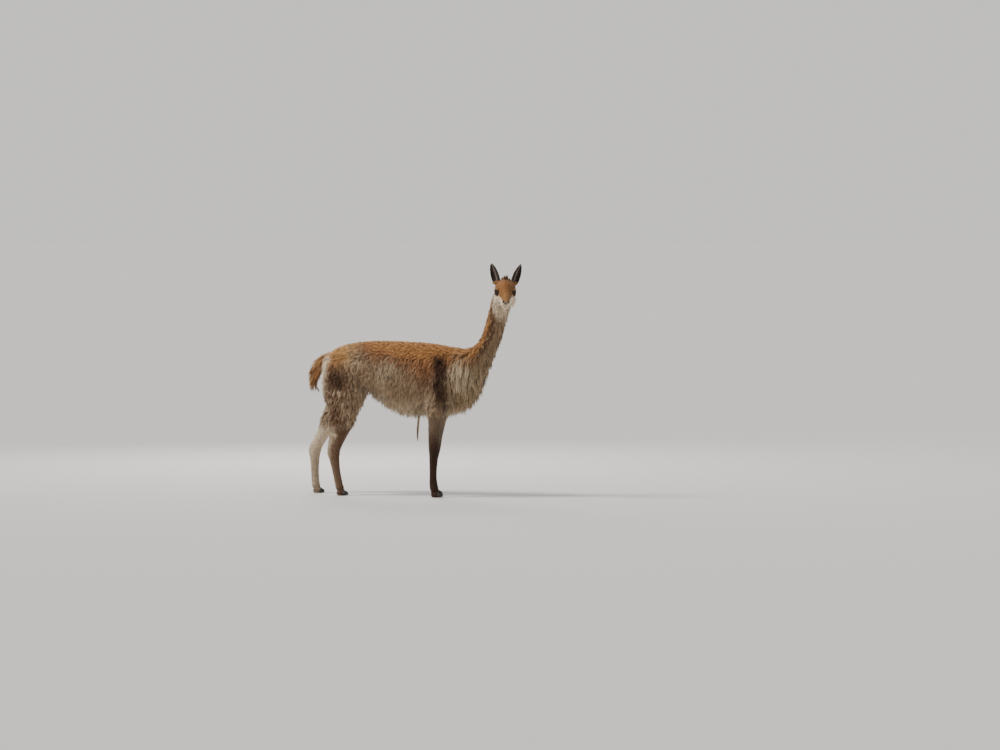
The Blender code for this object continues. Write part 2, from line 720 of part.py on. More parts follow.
def make_cleft():
    """What is cut away for the cleft of the upper lip."""
    bm = bmesh.new()
    add_ball(bm, CLEFT_PLACE, CLEFT_HALF, None, 8, 6)
    return mesh_object("cleft", bm, head_matrix())


def surface_of(obj):
    graph = bpy.context.evaluated_depsgraph_get()
    return BVHTree.FromObject(obj, graph)


def make_lock(surface, root, normal, lie, sizes, rng, hang, clear=COAT_CLEAR):
    """A flat, tapered lock that starts under the surface, follows it and bends down to its tip."""
    length, width, thick = (size * rng.uniform(*SIZE_SPREAD) for size in sizes)
    place, centres = root, [root - normal * thick]
    way = (lie - normal * lie.dot(normal)).normalized()
    for step, lift in enumerate(clear, 1):
        way = (way * (1 - hang * step / 3) + Vector((0, 0, -hang * step / 3))).normalized()
        place = place + way * (length / 3)
        near, out, _, _ = surface.find_nearest(place)
        if (place - near).dot(out) < lift:
            place = near + out * lift
        centres.append(place)
    bm = bmesh.new()
    rows = []
    across = way.cross(normal).normalized()
    for i, (wide, deep) in enumerate(LOCK_SHAPE):
        along = (centres[i + 1] - centres[max(i - 1, 0)]).normalized()
        side = (across - along * across.dot(along)).normalized()
        out = side.cross(along).normalized()
        if out.dot(normal) < 0:
            out = -out
        corners = ((1, 0), (0, 1), (-1, 0), (0, -1))
        rows.append([
            bm.verts.new(centres[i] + side * (width / 2 * wide * a) + out * (thick / 2 * deep * b))
            for a, b in corners
        ])
    tip = bm.verts.new(centres[-1])
    for low, high in zip(rows, rows[1:]):
        for i in range(4):
            j = (i + 1) % 4
            bm.faces.new((low[i], low[j], high[j], high[i]))
    for i in range(4):
        bm.faces.new((rows[-1][i], rows[-1][(i + 1) % 4], tip))
    bm.faces.new(rows[0][::-1])
    bmesh.ops.triangulate(bm, faces=bm.faces[:])
    bmesh.ops.recalc_face_normals(bm, faces=bm.faces[:])
    return mesh_object("lock", bm)


def make_clump(root, normal, radius, rng):
    """A round, slightly flattened curl of fleece, half sunk in the surface."""
    bm = bmesh.new()
    turn = normal.to_track_quat("Z", "Y").to_matrix().to_4x4()
    turn = turn @ Matrix.Rotation(rng.uniform(0, math.tau), 4, "Z")
    shape = Vector((rng.uniform(*CLUMP_LONG), rng.uniform(*CLUMP_WIDE), CLUMP_HIGH))
    add_ball(bm, root - normal * (radius * CLUMP_SINK), shape * radius, turn, 6, 4)
    return mesh_object("clump", bm)


def locks_of_flank(surface, angle, sides, sizes, hang, shift, rng):
    """One row of locks along the torso, at an angle round its core."""
    locks = []
    start, end = FLANK_REACH
    for i in range(round((end - start) / FLANK_STEP) + 1):
        for side in sides:
            x = start + (i + shift) * FLANK_STEP + rng.uniform(-FLANK_JITTER, FLANK_JITTER)
            tilt = math.radians(angle + rng.uniform(-ANGLE_JITTER, ANGLE_JITTER))
            out = Vector((0, side * math.cos(tilt), math.sin(tilt)))
            middle = Vector((x, 0, CORE_HEIGHT))
            root, normal, _, _ = surface.ray_cast(middle + out * 0.5, -out)
            if root is None or root.z < LOWEST_ROOT:
                continue
            lie = Vector((rng.uniform(*BACKWARD), 0, -0.9))
            locks.append(make_lock(surface, root, normal, lie, sizes, rng, hang))
    return locks


def locks_of_torso(surface, rng):
    """Rows of locks down the flanks, along the belly and over the chest, and the one long lock."""
    locks = []
    for row, angle in enumerate(FLANK_ROWS + BELLY_ROWS):
        sides, sizes, hang = (1,), BELLY_LOCK, BELLY_HANG
        if angle in FLANK_ROWS:
            sides, sizes, hang = (-1, 1), FLANK_LOCK, FLANK_HANG
        shift = 0.5 if row % 2 else 0
        locks += locks_of_flank(surface, angle, sides, sizes, hang, shift, rng)
    for row, z in enumerate(CHEST_LEVELS):
        for y in CHEST_SPREAD:
            shift = CHEST_STAGGER * (1 if row % 2 else -1) + rng.uniform(-CHEST_JITTER, CHEST_JITTER)
            spread = min(1, CHEST_TOP_SPREAD + (CHEST_LEVELS[0] - z) * CHEST_WIDENING)
            root, normal, _, _ = surface.ray_cast(Vector((FORWARD_OF_CHEST, y * spread + shift, z)), -X)
            if root is not None:
                lie = Vector((-0.10, CHEST_FAN * y, -1))
                locks.append(make_lock(surface, root, normal, lie, CHEST_LOCK, rng, CHEST_HANG))
    x, y = LONG_LOCK_PLACE
    root, normal, _, _ = surface.ray_cast(Vector((x, y, 0)), Z)
    locks.append(make_lock(surface, root, normal, LONG_LIE, LONG_LOCK, rng, LONG_HANG))
    return locks


def locks_of_neck(surface, rng):
    """Two rings of locks round the front of the neck's foot."""
    locks = []
    for row, z in enumerate(NECK_LEVELS):
        for angle in NECK_ANGLES[row % 2]:
            turn = math.radians(angle)
            out = Vector((math.cos(turn), math.sin(turn), -0.1))
            middle = Vector((NECK_LEAN[0] + NECK_LEAN[1] * z, 0, z))
            root, normal, _, _ = surface.ray_cast(middle + out * 0.3, -out)
            if root is not None:
                locks.append(make_lock(surface, root, normal, -Z, NECK_LOCK, rng, NECK_HANG))
    return locks


def clumps_of_leg(surface, stations, side, rng):
    """Curls set close on the outer and rear faces of a hind leg."""
    clumps = []
    for row, z in enumerate(CLUMP_LEVELS):
        low = max(s for s in stations if s[0] <= z)
        rise = (z - CLUMP_LEVELS[-1]) / (CLUMP_LEVELS[0] - CLUMP_LEVELS[-1])
        radius = CLUMP_RADIUS * (LOWEST_CLUMP + (1 - LOWEST_CLUMP) * rise)
        for angle in CLUMP_ANGLES[row % 2]:
            turn = math.radians(angle + rng.uniform(-CLUMP_JITTER, CLUMP_JITTER))
            out = Vector((math.sin(turn) * 0.8 - 0.3, side * math.cos(turn), 0)).normalized()
            root, normal, _, _ = surface.ray_cast(Vector((low[1], low[2], z)) + out * 0.3, -out)
            if root is not None:
                clumps.append(make_clump(root, normal, radius * rng.uniform(0.9, 1.1), rng))
    return clumps


def make_ear(name, side):
    """A cupped leaf with a thick root, open to the front and a little outwards."""
    rings = []
    for step in range(EAR_STEPS + 1):
        t = step / EAR_STEPS
        swell = math.sin(math.pi * (0.26 + 0.74 * t)) ** EAR_FULLNESS if t < 1 else 0
        width = EAR_HALF_WIDTH * max(swell, 0.07)
        depth = EAR_CUP * max(swell, 0.10) * (1.1 - 0.5 * t)
        wall = EAR_WALL * (1.4 - 0.9 * t)
        inner_width = max(width - wall * 0.55, width * 0.35)
        open_cup = min(1, t * 4)
        outer, inner = [], []
        for i in range(EAR_ARC):
            angle = math.pi * i / (EAR_ARC - 1)
            across, back = -math.cos(angle), math.sin(angle)
            outer.append(Vector((-depth * back - wall * 0.3, width * across, EAR_LENGTH * t)))
            hollow = (depth * back - wall * back) * open_cup - wall * 0.5
            inner.append(Vector((-hollow, inner_width * across, EAR_LENGTH * t)))
        rings.append(outer + inner[::-1])
    bm = bmesh.new()
    add_tube(bm, rings)
    lean = Vector((EAR_LEAN.x, side * EAR_LEAN.y, EAR_LEAN.z))
    turn = lean.to_track_quat("Z", "Y").to_matrix().to_4x4()
    turn = turn @ facing(turn) @ Matrix.Rotation(side * EAR_TURN, 4, "Z")
    place = Vector((EAR_PLACE.x, side * EAR_PLACE.y, EAR_PLACE.z))
    matrix = head_matrix() @ Matrix.Translation(place) @ turn
    ear = mesh_object(name, bm, matrix)
    bm = bmesh.new()
    add_ball(bm, EAR_ROOT_PLACE, EAR_ROOT_HALF, None, 10, 7)
    join_or_cut(ear, [mesh_object("root", bm, matrix)], "UNION", "MANIFOLD")
    keep_largest(ear)
    return ear


def facing(turn):
    """The turn about its own length that brings an ear's opening to the head's front."""
    ahead = turn.to_3x3().inverted() @ X
    return Matrix.Rotation(math.atan2(ahead.y, ahead.x), 4, "Z")


def make_nail(name, ankle, side):
    """A blunt curved nail on the front of one toe."""
    _, x, y, _, _ = ankle
    turn = Matrix.Rotation(side * TOE_SPLAY, 4, "Z")
    centre = Vector((x + TOE_FORWARD, y + side * TOE_SPREAD, 0.010))
    bm = bmesh.new()
    tilt = Matrix.Rotation(math.radians(24), 4, "Y")
    add_ball(bm, (NAIL_FORWARD, 0, 0.003), NAIL_HALF, tilt, segments=7, rings=5)
    nail = mesh_object(name, bm, Matrix.Translation(centre) @ turn)
    keep_side(nail, Vector((0, 0, -GAP / 2)), Z)
    return nail


def coloured(obj, name):
    colour, roughness = COLOURS[name]
    material = bpy.data.materials.get(name)
    if material is None:
        material = bpy.data.materials.new(name)
        material.use_nodes = True
        shader = material.node_tree.nodes["Principled BSDF"]
        shader.inputs["Base Color"].default_value = colour
        shader.inputs["Roughness"].default_value = roughness
        material.diffuse_color = colour
    obj.data.materials.clear()
    obj.data.materials.append(material)


def triangulated(obj):
    """Splits every face into triangles, so that all that reads the mesh reads the same surface."""
    bm = bmesh.new()
    bm.from_mesh(obj.data)
    bmesh.ops.dissolve_degenerate(bm, dist=MERGE, edges=bm.edges[:])
    bmesh.ops.triangulate(bm, faces=bm.faces[:])
    bm.to_mesh(obj.data)
    bm.free()


def build():
    for obj in list(bpy.data.objects):
        bpy.data.objects.remove(obj)
    flesh = whole_flesh()
    nodes = part_flesh(flesh)
    bpy.data.objects.remove(flesh)

    tail = nodes["tail"] = make_tail()
    rump = inflated(nodes["torso"], "rump")
    join_or_cut(tail, [rump], "DIFFERENCE")
    keep_largest(tail)

    head = nodes["head"]
    for side, name in ((-1, "right"), (1, "left")):
        nodes["eye_" + name] = make_eye("eye_" + name, side)
    crown = make_crown(head)
    join_or_cut(head, [make_lids(-1), make_lids(1), *crown], "UNION", "MANIFOLD")
    cutters = [make_socket(-1), make_socket(1), make_nostril(-1), make_nostril(1)]
    join_or_cut(head, cutters + [make_mouth(), make_cleft()], "DIFFERENCE", "MANIFOLD")
    keep_largest(head)
    for side, name in ((-1, "right"), (1, "left")):
        ear = nodes["ear_" + name] = make_ear("ear_" + name, side)
        join_or_cut(ear, [inflated(head, "scalp")], "DIFFERENCE", "MANIFOLD")
        keep_largest(ear)

    legs = {
        "front_right": FRONT_LEG_RIGHT,
        "front_left": FRONT_LEG_LEFT,
        "hind_right": HIND_LEG_RIGHT,
        "hind_left": HIND_LEG_LEFT,
    }
    for leg, stations in legs.items():
        for side, place in ((-1, "1"), (1, "2")):
            name = f"nail_{leg}_{place}"
            nail = nodes[name] = make_nail(name, stations[-1], side)
            join_or_cut(nail, [inflated(nodes["leg_" + leg], "toe")], "DIFFERENCE")
            keep_largest(nail)

    finishes = {
        "leg": "coat_leg",
        "thigh": "coat_leg",
        "ear": "ear_grey",
        "eye": "eye_dark",
        "nail": "nail_dark",
    }
    for name, node in nodes.items():
        node.data.transform(Matrix.Translation(ORIGIN_SHIFT))
        triangulated(node)
        coloured(node, finishes.get(name.split("_")[0], "coat_back"))
        node.data.shade_smooth()


build()
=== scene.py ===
"""Looks of the vicuna: one skin with lids, lips and cupped ears, its coat as solid tufts and locks,
eyes with lashes, and nails. Metres, in the model's frame.

Shapes are made in the body's own frame, where x is 0 under the middle of the trunk, and are then
moved by ORIGIN_SHIFT into the model's frame. The tables repeat those of the construction.
"""

import math

import bmesh
import bpy
import numpy as np
from mathutils import Matrix, Vector
from mathutils.bvhtree import BVHTree
from mathutils.kdtree import KDTree


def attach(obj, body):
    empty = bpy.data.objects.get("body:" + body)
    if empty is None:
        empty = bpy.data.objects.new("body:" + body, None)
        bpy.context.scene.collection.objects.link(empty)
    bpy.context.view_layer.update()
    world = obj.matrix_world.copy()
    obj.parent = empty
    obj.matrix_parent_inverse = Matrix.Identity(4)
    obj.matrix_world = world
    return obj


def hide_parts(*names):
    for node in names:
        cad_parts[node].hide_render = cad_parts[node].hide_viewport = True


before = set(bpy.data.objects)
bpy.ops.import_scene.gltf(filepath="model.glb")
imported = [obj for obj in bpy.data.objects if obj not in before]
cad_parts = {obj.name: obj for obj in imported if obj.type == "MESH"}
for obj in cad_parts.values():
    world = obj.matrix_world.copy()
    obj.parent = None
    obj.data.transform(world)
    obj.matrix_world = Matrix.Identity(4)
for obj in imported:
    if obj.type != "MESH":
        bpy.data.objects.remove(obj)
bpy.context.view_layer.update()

ORIGIN_SHIFT = Vector((-0.063, 0.014, 0))
X, Y, Z = Vector((1, 0, 0)), Vector((0, 1, 0)), Vector((0, 0, 1))
RING_POINTS = 32
SKIN_VOXEL = 0.0024
SKIN_SMOOTHING = 9
BODY_TRIANGLES = 70000
SEED = 11

# How far the skin lies inside the outside of the coat
WOOL_DEPTH = 0.014
SIDE_DEPTH = 0.010
CORE_DEPTH = 0.004
NECK_DEPTH = 0.012
THIGH_DEPTH = 0.010
SHANK_DEPTH = 0.003
FACE_DEPTH = 0.0030

# Torso: x, top, bottom, half width, height of the widest place
TORSO = (
    (-0.462, 0.765, 0.690, 0.030, 0.730),
    (-0.440, 0.796, 0.640, 0.080, 0.720),
    (-0.400, 0.824, 0.590, 0.116, 0.705),
    (-0.340, 0.850, 0.570, 0.134, 0.695),
    (-0.260, 0.867, 0.590, 0.139, 0.700),
    (-0.190, 0.873, 0.598, 0.138, 0.705),
    (-0.120, 0.875, 0.572, 0.136, 0.700),
    (-0.040, 0.875, 0.526, 0.137, 0.690),
    (0.050, 0.872, 0.498, 0.138, 0.680),
    (0.140, 0.867, 0.500, 0.136, 0.680),
    (0.220, 0.858, 0.506, 0.128, 0.685),
    (0.300, 0.845, 0.506, 0.115, 0.690),
    (0.370, 0.834, 0.526, 0.100, 0.700),
    (0.420, 0.820, 0.566, 0.082, 0.710),
    (0.452, 0.795, 0.625, 0.062, 0.718),
    (0.472, 0.760, 0.680, 0.030, 0.722),
)

# Neck: centre x, y, z, half depth to the back, half depth to the throat, half width
NECK = (
    (0.350, 0.000, 0.710, 0.108, 0.100, 0.080),
    (0.415, 0.000, 0.750, 0.096, 0.092, 0.076),
    (0.466, 0.000, 0.793, 0.076, 0.074, 0.068),
    (0.507, 0.000, 0.858, 0.061, 0.062, 0.059),
    (0.538, -0.002, 0.935, 0.059, 0.061, 0.057),
    (0.558, -0.006, 1.005, 0.058, 0.061, 0.056),
    (0.576, -0.014, 1.065, 0.058, 0.062, 0.058),
    (0.592, -0.028, 1.118, 0.053, 0.057, 0.057),
    (0.604, -0.042, 1.148, 0.030, 0.030, 0.034),
)

# Front leg: height, centre x and y, half length fore and aft, half width
FRONT_LEG_RIGHT = (
    (0.740, 0.235, -0.080, 0.050, 0.030),
    (0.680, 0.250, -0.092, 0.084, 0.048),
    (0.600, 0.248, -0.096, 0.088, 0.050),
    (0.520, 0.232, -0.092, 0.066, 0.046),
    (0.450, 0.220, -0.088, 0.046, 0.038),
    (0.380, 0.216, -0.086, 0.039, 0.034),
    (0.320, 0.214, -0.085, 0.034, 0.030),
    (0.270, 0.215, -0.084, 0.032, 0.029),
    (0.235, 0.213, -0.083, 0.028, 0.026),
    (0.190, 0.209, -0.082, 0.0235, 0.022),
    (0.120, 0.208, -0.081, 0.0215, 0.020),
    (0.075, 0.209, -0.080, 0.0235, 0.023),
    (0.045, 0.214, -0.080, 0.0225, 0.024),
    (0.026, 0.219, -0.080, 0.0200, 0.022),
)
FRONT_LEG_LEFT = (
    (0.740, 0.235, 0.080, 0.050, 0.030),
    (0.680, 0.250, 0.092, 0.084, 0.048),
    (0.600, 0.248, 0.096, 0.088, 0.050),
    (0.520, 0.226, 0.092, 0.066, 0.046),
    (0.450, 0.204, 0.086, 0.047, 0.038),
    (0.380, 0.188, 0.082, 0.040, 0.034),
    (0.320, 0.178, 0.079, 0.034, 0.030),
    (0.270, 0.172, 0.077, 0.032, 0.029),
    (0.235, 0.168, 0.076, 0.028, 0.026),
    (0.190, 0.163, 0.075, 0.0235, 0.022),
    (0.120, 0.160, 0.073, 0.0215, 0.020),
    (0.075, 0.161, 0.072, 0.0235, 0.023),
    (0.045, 0.166, 0.072, 0.0225, 0.024),
    (0.026, 0.171, 0.072, 0.0200, 0.022),
)

# Hind leg, as the front leg
HIND_LEG_RIGHT = (
    (0.790, -0.330, -0.070, 0.050, 0.030),
    (0.740, -0.325, -0.082, 0.098, 0.052),
    (0.670, -0.318, -0.092, 0.118, 0.062),
    (0.600, -0.312, -0.095, 0.122, 0.064),
    (0.540, -0.306, -0.096, 0.112, 0.062),
    (0.485, -0.309, -0.096, 0.086, 0.056),
    (0.425, -0.322, -0.095, 0.073, 0.047),
    (0.360, -0.339, -0.094, 0.060, 0.041),
    (0.300, -0.361, -0.092, 0.046, 0.034),
    (0.262, -0.373, -0.091, 0.040, 0.030),
    (0.232, -0.376, -0.090, 0.037, 0.028),
    (0.195, -0.371, -0.089, 0.030, 0.025),
    (0.130, -0.360, -0.087, 0.0245, 0.021),
    (0.080, -0.350, -0.086, 0.0240, 0.022),
    (0.045, -0.342, -0.085, 0.0230, 0.023),
    (0.026, -0.337, -0.085, 0.0200, 0.021),
)
HIND_LEG_LEFT = (
    (0.790, -0.335, 0.070, 0.050, 0.030),
    (0.740, -0.335, 0.082, 0.098, 0.052),
    (0.670, -0.335, 0.092, 0.116, 0.062),
    (0.600, -0.345, 0.095, 0.116, 0.064),
    (0.540, -0.365, 0.096, 0.106, 0.062),
    (0.485, -0.398, 0.095, 0.088, 0.056),
    (0.425, -0.440, 0.093, 0.068, 0.047),
    (0.360, -0.482, 0.091, 0.052, 0.039),
    (0.300, -0.524, 0.088, 0.041, 0.032),
    (0.262, -0.543, 0.086, 0.039, 0.029),
    (0.232, -0.550, 0.085, 0.036, 0.028),
    (0.195, -0.550, 0.084, 0.029, 0.025),
    (0.130, -0.548, 0.082, 0.0245, 0.021),
    (0.080, -0.546, 0.081, 0.0240, 0.022),
    (0.045, -0.541, 0.080, 0.0230, 0.023),
    (0.026, -0.536, 0.080, 0.0200, 0.021),
)
LEGS = {
    "front_right": FRONT_LEG_RIGHT,
    "front_left": FRONT_LEG_LEFT,
    "hind_right": HIND_LEG_RIGHT,
    "hind_left": HIND_LEG_LEFT,
}

TOE_HALF = Vector((0.027, 0.0125, 0.020))
TOE_SPREAD = 0.0145
TOE_SPLAY = math.radians(7)
TOE_FORWARD = 0.006
TOE_HEIGHT = 0.013
NAIL_HALF = Vector((0.0140, 0.0095, 0.0105))
NAIL_FORWARD = 0.021
NAIL_HEIGHT = 0.010
NAIL_RAISED = 0.003
NAIL_TILT = math.radians(24)
NAIL_NARROWS = 0.35
NAIL_DROPS = 0.0025

# Head, in its own frame: +X to the nose, origin midway between the eyes.
# Each ring is x, top, bottom, half width, height of the widest place
HEAD = (
    (-0.098, 0.030, -0.024, 0.028, 0.004),
    (-0.082, 0.057, -0.054, 0.050, 0.002),
    (-0.056, 0.071, -0.072, 0.060, 0.000),
    (-0.024, 0.073, -0.076, 0.062, -0.004),
    (0.004, 0.064, -0.072, 0.0528, -0.006),
    (0.028, 0.045, -0.060, 0.042, -0.010),
    (0.052, 0.027, -0.054, 0.033, -0.014),
    (0.076, 0.013, -0.050, 0.0285, -0.018),
    (0.097, 0.005, -0.047, 0.0260, -0.021),
    (0.112, -0.001, -0.043, 0.0215, -0.022),
    (0.120, -0.010, -0.036, 0.0130, -0.023),
)
# Round forms on both sides of the head: place, half sizes, and what the fur's depth is divided by
# before it comes off. They are the orbit, the cheek, the brow, the nose's wing and the upper lip
HEAD_PAIRS = (
    ((-0.002, 0.0410, 0.007), (0.031, 0.0160, 0.025), 2),
    ((-0.034, 0.033, -0.039), (0.047, 0.027, 0.041), 1),
    ((0.004, 0.0450, 0.0260), (0.020, 0.0070, 0.0065), 3),
    ((0.105, 0.0115, -0.0125), (0.0145, 0.0100, 0.0100), math.inf),
    ((0.100, 0.0130, -0.0310), (0.0195, 0.0120, 0.0110), math.inf),
)
CHIN = ((0.090, 0, -0.0500), (0.0250, 0.0170, 0.0110))
JAW = ((0.050, 0, -0.0460), (0.0500, 0.0230, 0.0125))
HEAD_PLACE = Vector((0.634, -0.100, 1.142))
HEAD_YAW = math.radians(-72)
HEAD_PITCH = math.radians(17)
HEAD_ROLL = math.radians(-2)
HEAD_CUT = (Vector((-0.055, 0, -0.030)), Vector((0.82, 0, 0.57)))

EYE_PLACE = Vector((0.008, 0.0415, 0.006))
EYE_RADIUS = 0.0160
GAZE = Vector((0.56, 0.82, 0.06))
SOCKET_ROOM = 0.0003
LASHES = 34
LID_POINTS = 40
LID_HEAVY, LID_LIGHT = 1.25, 0.9
FOLD_UPPER, FOLD_LOWER = 0.0062, 0.0050
FOLD_SUNK = 0.0026
LID_HALF_LENGTH = math.radians(59)
LID_RISE = math.radians(40)
LID_FALL = math.radians(44)
LID_THICK = 0.0020
LID_POINTED = 0.75
NOSTRIL_PLACE = Vector((0.1155, 0.0125, -0.0135))
NOSTRIL_HALF = Vector((0.0100, 0.0030, 0.0056))
RIM_HALF = (0.0034, 0.0064)
RIM_THICK = 0.0012
NOSTRIL_YAW = math.radians(38)
NOSTRIL_SLANT = math.radians(28)
MOUTH_LINE = ((0.066, -0.0375), (0.082, -0.0405), (0.100, -0.0428), (0.130, -0.0415))
MOUTH_HALF_WIDTH = 0.040
MOUTH_GAP = 0.0016
CLEFT_PLACE = Vector((0.121, 0, -0.0290))
CLEFT_HALF = Vector((0.0060, 0.0014, 0.0125))

EAR_LENGTH = 0.114
EAR_HALF_WIDTH = 0.0270
EAR_CUP = 0.013
EAR_FULLNESS = 0.62
EAR_WALL = 0.0034
EAR_STEPS = 30
EAR_ARC = 17
EAR_REACH = 0.034
EAR_ROOT_PLACE = Vector((-0.006, 0, -0.002))
EAR_ROOT_HALF = Vector((0.012, 0.0160, 0.0172))
EAR_PLACE = Vector((-0.044, 0.048, 0.042))
EAR_LEAN = Vector((-0.24, 0.29, 0.92))
EAR_TURN = math.radians(32)

# Tail: centre x, z, half thickness, half width
TAIL = (
    (-0.425, 0.772, 0.024, 0.026),
    (-0.462, 0.758, 0.022, 0.026),
    (-0.496, 0.726, 0.018, 0.023),
    (-0.516, 0.684, 0.014, 0.019),
    (-0.524, 0.644, 0.009, 0.013),
    (-0.526, 0.624, 0.004, 0.005),
)

NECK_CUT = (Vector((0.470, 0, 0.775)), Vector((0.74, 0, 0.67)))

# Colours of the coat, linear
TAWNY = (0.440, 0.205, 0.066)
RUST = (0.340, 0.140, 0.055)
FLANK = (0.330, 0.220, 0.130)
CREAM = (0.660, 0.520, 0.350)
# Cream of the chest's long hair, darkened as painted shade
BIB_IN_SHADE = (0.370, 0.262, 0.152)
WHITE = (0.880, 0.690, 0.490)
CAP = (0.258, 0.114, 0.034)
NECK_TAN = (0.175, 0.094, 0.047)
RUSTY_BROWN = (0.165, 0.078, 0.039)
GOLD = (0.520, 0.288, 0.098)
BROWN = (0.120, 0.056, 0.030)
# Darkest brown: for the band behind the shoulder, where it is partly painted shade, and for the
# thigh's dark patch
BAND = (0.040, 0.016, 0.008)
SHADE = (0.030, 0.018, 0.013)
LEG_GREY = (0.300, 0.225, 0.155)
LEG_DARK = (0.042, 0.020, 0.012)
# Tan of the forelegs, darkened as painted shade on the right one
LEG_TAN_IN_SHADE = (0.135, 0.085, 0.054)
EAR_DARK = (0.026, 0.016, 0.012)
EAR_PALE = (0.300, 0.235, 0.200)
NOSE = (0.020, 0.014, 0.012)

# How the coat grows in each zone: tufts and guides to the square metre, length, lift from the skin
# in degrees, how far it hangs, how closely it gathers in locks, width, curl
COAT = {
    "back": (54000, 11500, 0.019, 22, 0.00, 0.34, 0.0029, 0.0028),
    "flank": (47000, 8500, 0.036, 14, 0.40, 0.40, 0.0031, 0.0034),
    "belly": (46000, 3400, 0.066, 22, 0.85, 0.70, 0.0036, 0.0036),
    "chest": (46000, 3200, 0.084, 15, 0.60, 0.66, 0.0036, 0.0036),
    "neck": (80000, 14000, 0.018, 18, 0.12, 0.36, 0.0025, 0.0026),
    "throat": (78000, 10500, 0.026, 17, 0.35, 0.42, 0.0026, 0.0024),
    "crown": (240000, 20000, 0.026, 46, -0.20, 0.55, 0.0020, 0.0016),
    "head": (290000, 38000, 0.0080, 8, 0.00, 0.30, 0.0013, 0.0003),
    "cheek": (230000, 22000, 0.0170, 9, 0.35, 0.45, 0.0017, 0.0010),
    "muzzle": (480000, 60000, 0.0040, 7, 0.00, 0.20, 0.0010, 0.0002),
    "ear": (220000, 30000, 0.0068, 8, 0.00, 0.30, 0.0012, 0.0003),
    "thigh": (44000, 7000, 0.030, 26, 0.30, 0.58, 0.0033, 0.0056),
    "leg": (76000, 12000, 0.0105, 6, 0.06, 0.32, 0.0017, 0.0006),
    "foot": (90000, 20000, 0.0060, 8, 0.10, 0.30, 0.0018, 0.0003),
    "tail": (84000, 7500, 0.056, 15, 0.20, 0.42, 0.0030, 0.0024),
}
TRIANGLES_A_PIECE = 195000
SHORT_RINGS, TUFT_RINGS, LONG_RINGS = 2, 3, 4
PATCH = 0.003
SOFTNESS = 0.55
# How much darker the skin is where the coat covers it, as painted shade
SKIN_SHADE = 0.80
GUIDE_STEPS = 6
CURL_TURNS = 0.75
# How many guides a tuft chooses from, how alike the normals have to be, and how far tufts stand off
NEAR_GUIDES = 5
SAME_FACE = 0.45
MOST_STAND = 0.016
GOLDEN_ANGLE = 2.399963
# How far the brightness of locks and of single tufts spreads
LOCK_SHADES, TUFT_SHADES = 0.17, 0.08
FLOOR_CLEAR = 0.0002
LONG_LOCK_PLACE = (0.128, -0.055)
LONG_LOCK_LENGTH = 0.225
LONG_LOCK_TUFTS = 60


def head_matrix():
    turn = Matrix.Rotation(HEAD_YAW, 4, "Z") @ Matrix.Rotation(HEAD_PITCH, 4, "Y")
    return Matrix.Translation(HEAD_PLACE) @ turn @ Matrix.Rotation(HEAD_ROLL, 4, "X")


HEAD_MATRIX = head_matrix()
HEAD_TURN = np.array(HEAD_MATRIX.to_3x3())
HEAD_ORIGIN = np.array(HEAD_MATRIX.translation)
# Places beyond this, from the head's origin along the way of its cut, are the body's
BODY_LIMIT = -0.05


def smoothed(stations, steps=6):
    """The stations with `steps` parts between each two, on a Catmull-Rom curve through them all."""
    rows = []
    last = len(stations) - 1
    for i in range(last):
        before, start = stations[max(i - 1, 0)], stations[i]
        end, after = stations[i + 1], stations[min(i + 2, last)]
        for step in range(steps):
            t = step / steps
            row = []
            for p, a, b, q in zip(before, start, end, after):
                bend = 2 * p - 5 * a + 4 * b - q
                twist = 3 * (a - b) + q - p
                row.append(a + 0.5 * t * (b - p + t * (bend + t * twist)))
            rows.append(row)
    rows.append(list(stations[last]))
    return rows


def ring(centre, up, side, top, bottom, half_width, count=RING_POINTS):
    """An egg-shaped section: `top` and `bottom` are its reaches along `up` and against it."""
    points = []
    for i in range(count):
        angle = math.tau * i / count
        rise = math.sin(angle)
        reach = top if rise > 0 else bottom
        points.append(centre + side * (half_width * math.cos(angle)) + up * (reach * rise))
    return points


def add_tube(bm, rings, closed=False):
    """A body through the rings, with flat ends or closed on itself."""
    rows = [[bm.verts.new(p) for p in points] for points in rings]
    count = len(rows[0])
    made = []
    for low, high in zip(rows, rows[1:] + (rows[:1] if closed else [])):
        for i in range(count):
            j = (i + 1) % count
            made.append(bm.faces.new((low[i], low[j], high[j], high[i])))
    if not closed:
        made.append(bm.faces.new(rows[0][::-1]))
        made.append(bm.faces.new(rows[-1]))
    bmesh.ops.recalc_face_normals(bm, faces=made)


def add_ball(bm, place, half, turn=None, segments=32, rings=20):
    """An ellipsoid of half sizes `half` about `place`, turned by the matrix `turn`."""
    turn = turn or Matrix.Identity(4)
    matrix = Matrix.Translation(place) @ turn @ Matrix.Diagonal((*half, 1))
    bmesh.ops.create_uvsphere(bm, u_segments=segments, v_segments=rings, radius=1, matrix=matrix)


def new_object(name, data):
    obj = bpy.data.objects.new(name, data)
    bpy.context.scene.collection.objects.link(obj)
    return obj


def mesh_object(name, bm, matrix=None):
    """A new object that holds the bmesh, which is freed."""
    mesh = bpy.data.meshes.new(name)
    if matrix is not None:
        bm.transform(matrix)
    bm.to_mesh(mesh)
    bm.free()
    return new_object(name, mesh)


def tube_object(name, rings, closed=False, matrix=HEAD_MATRIX):
    bm = bmesh.new()
    add_tube(bm, rings, closed)
    return mesh_object(name, bm, matrix)


def ball_object(name, place, half, turn=None, segments=20, rings=12, matrix=HEAD_MATRIX):
    bm = bmesh.new()
    add_ball(bm, place, half, turn, segments, rings)
    return mesh_object(name, bm, matrix)


def shade_smooth(mesh):
    mesh.polygons.foreach_set("use_smooth", [True] * len(mesh.polygons))


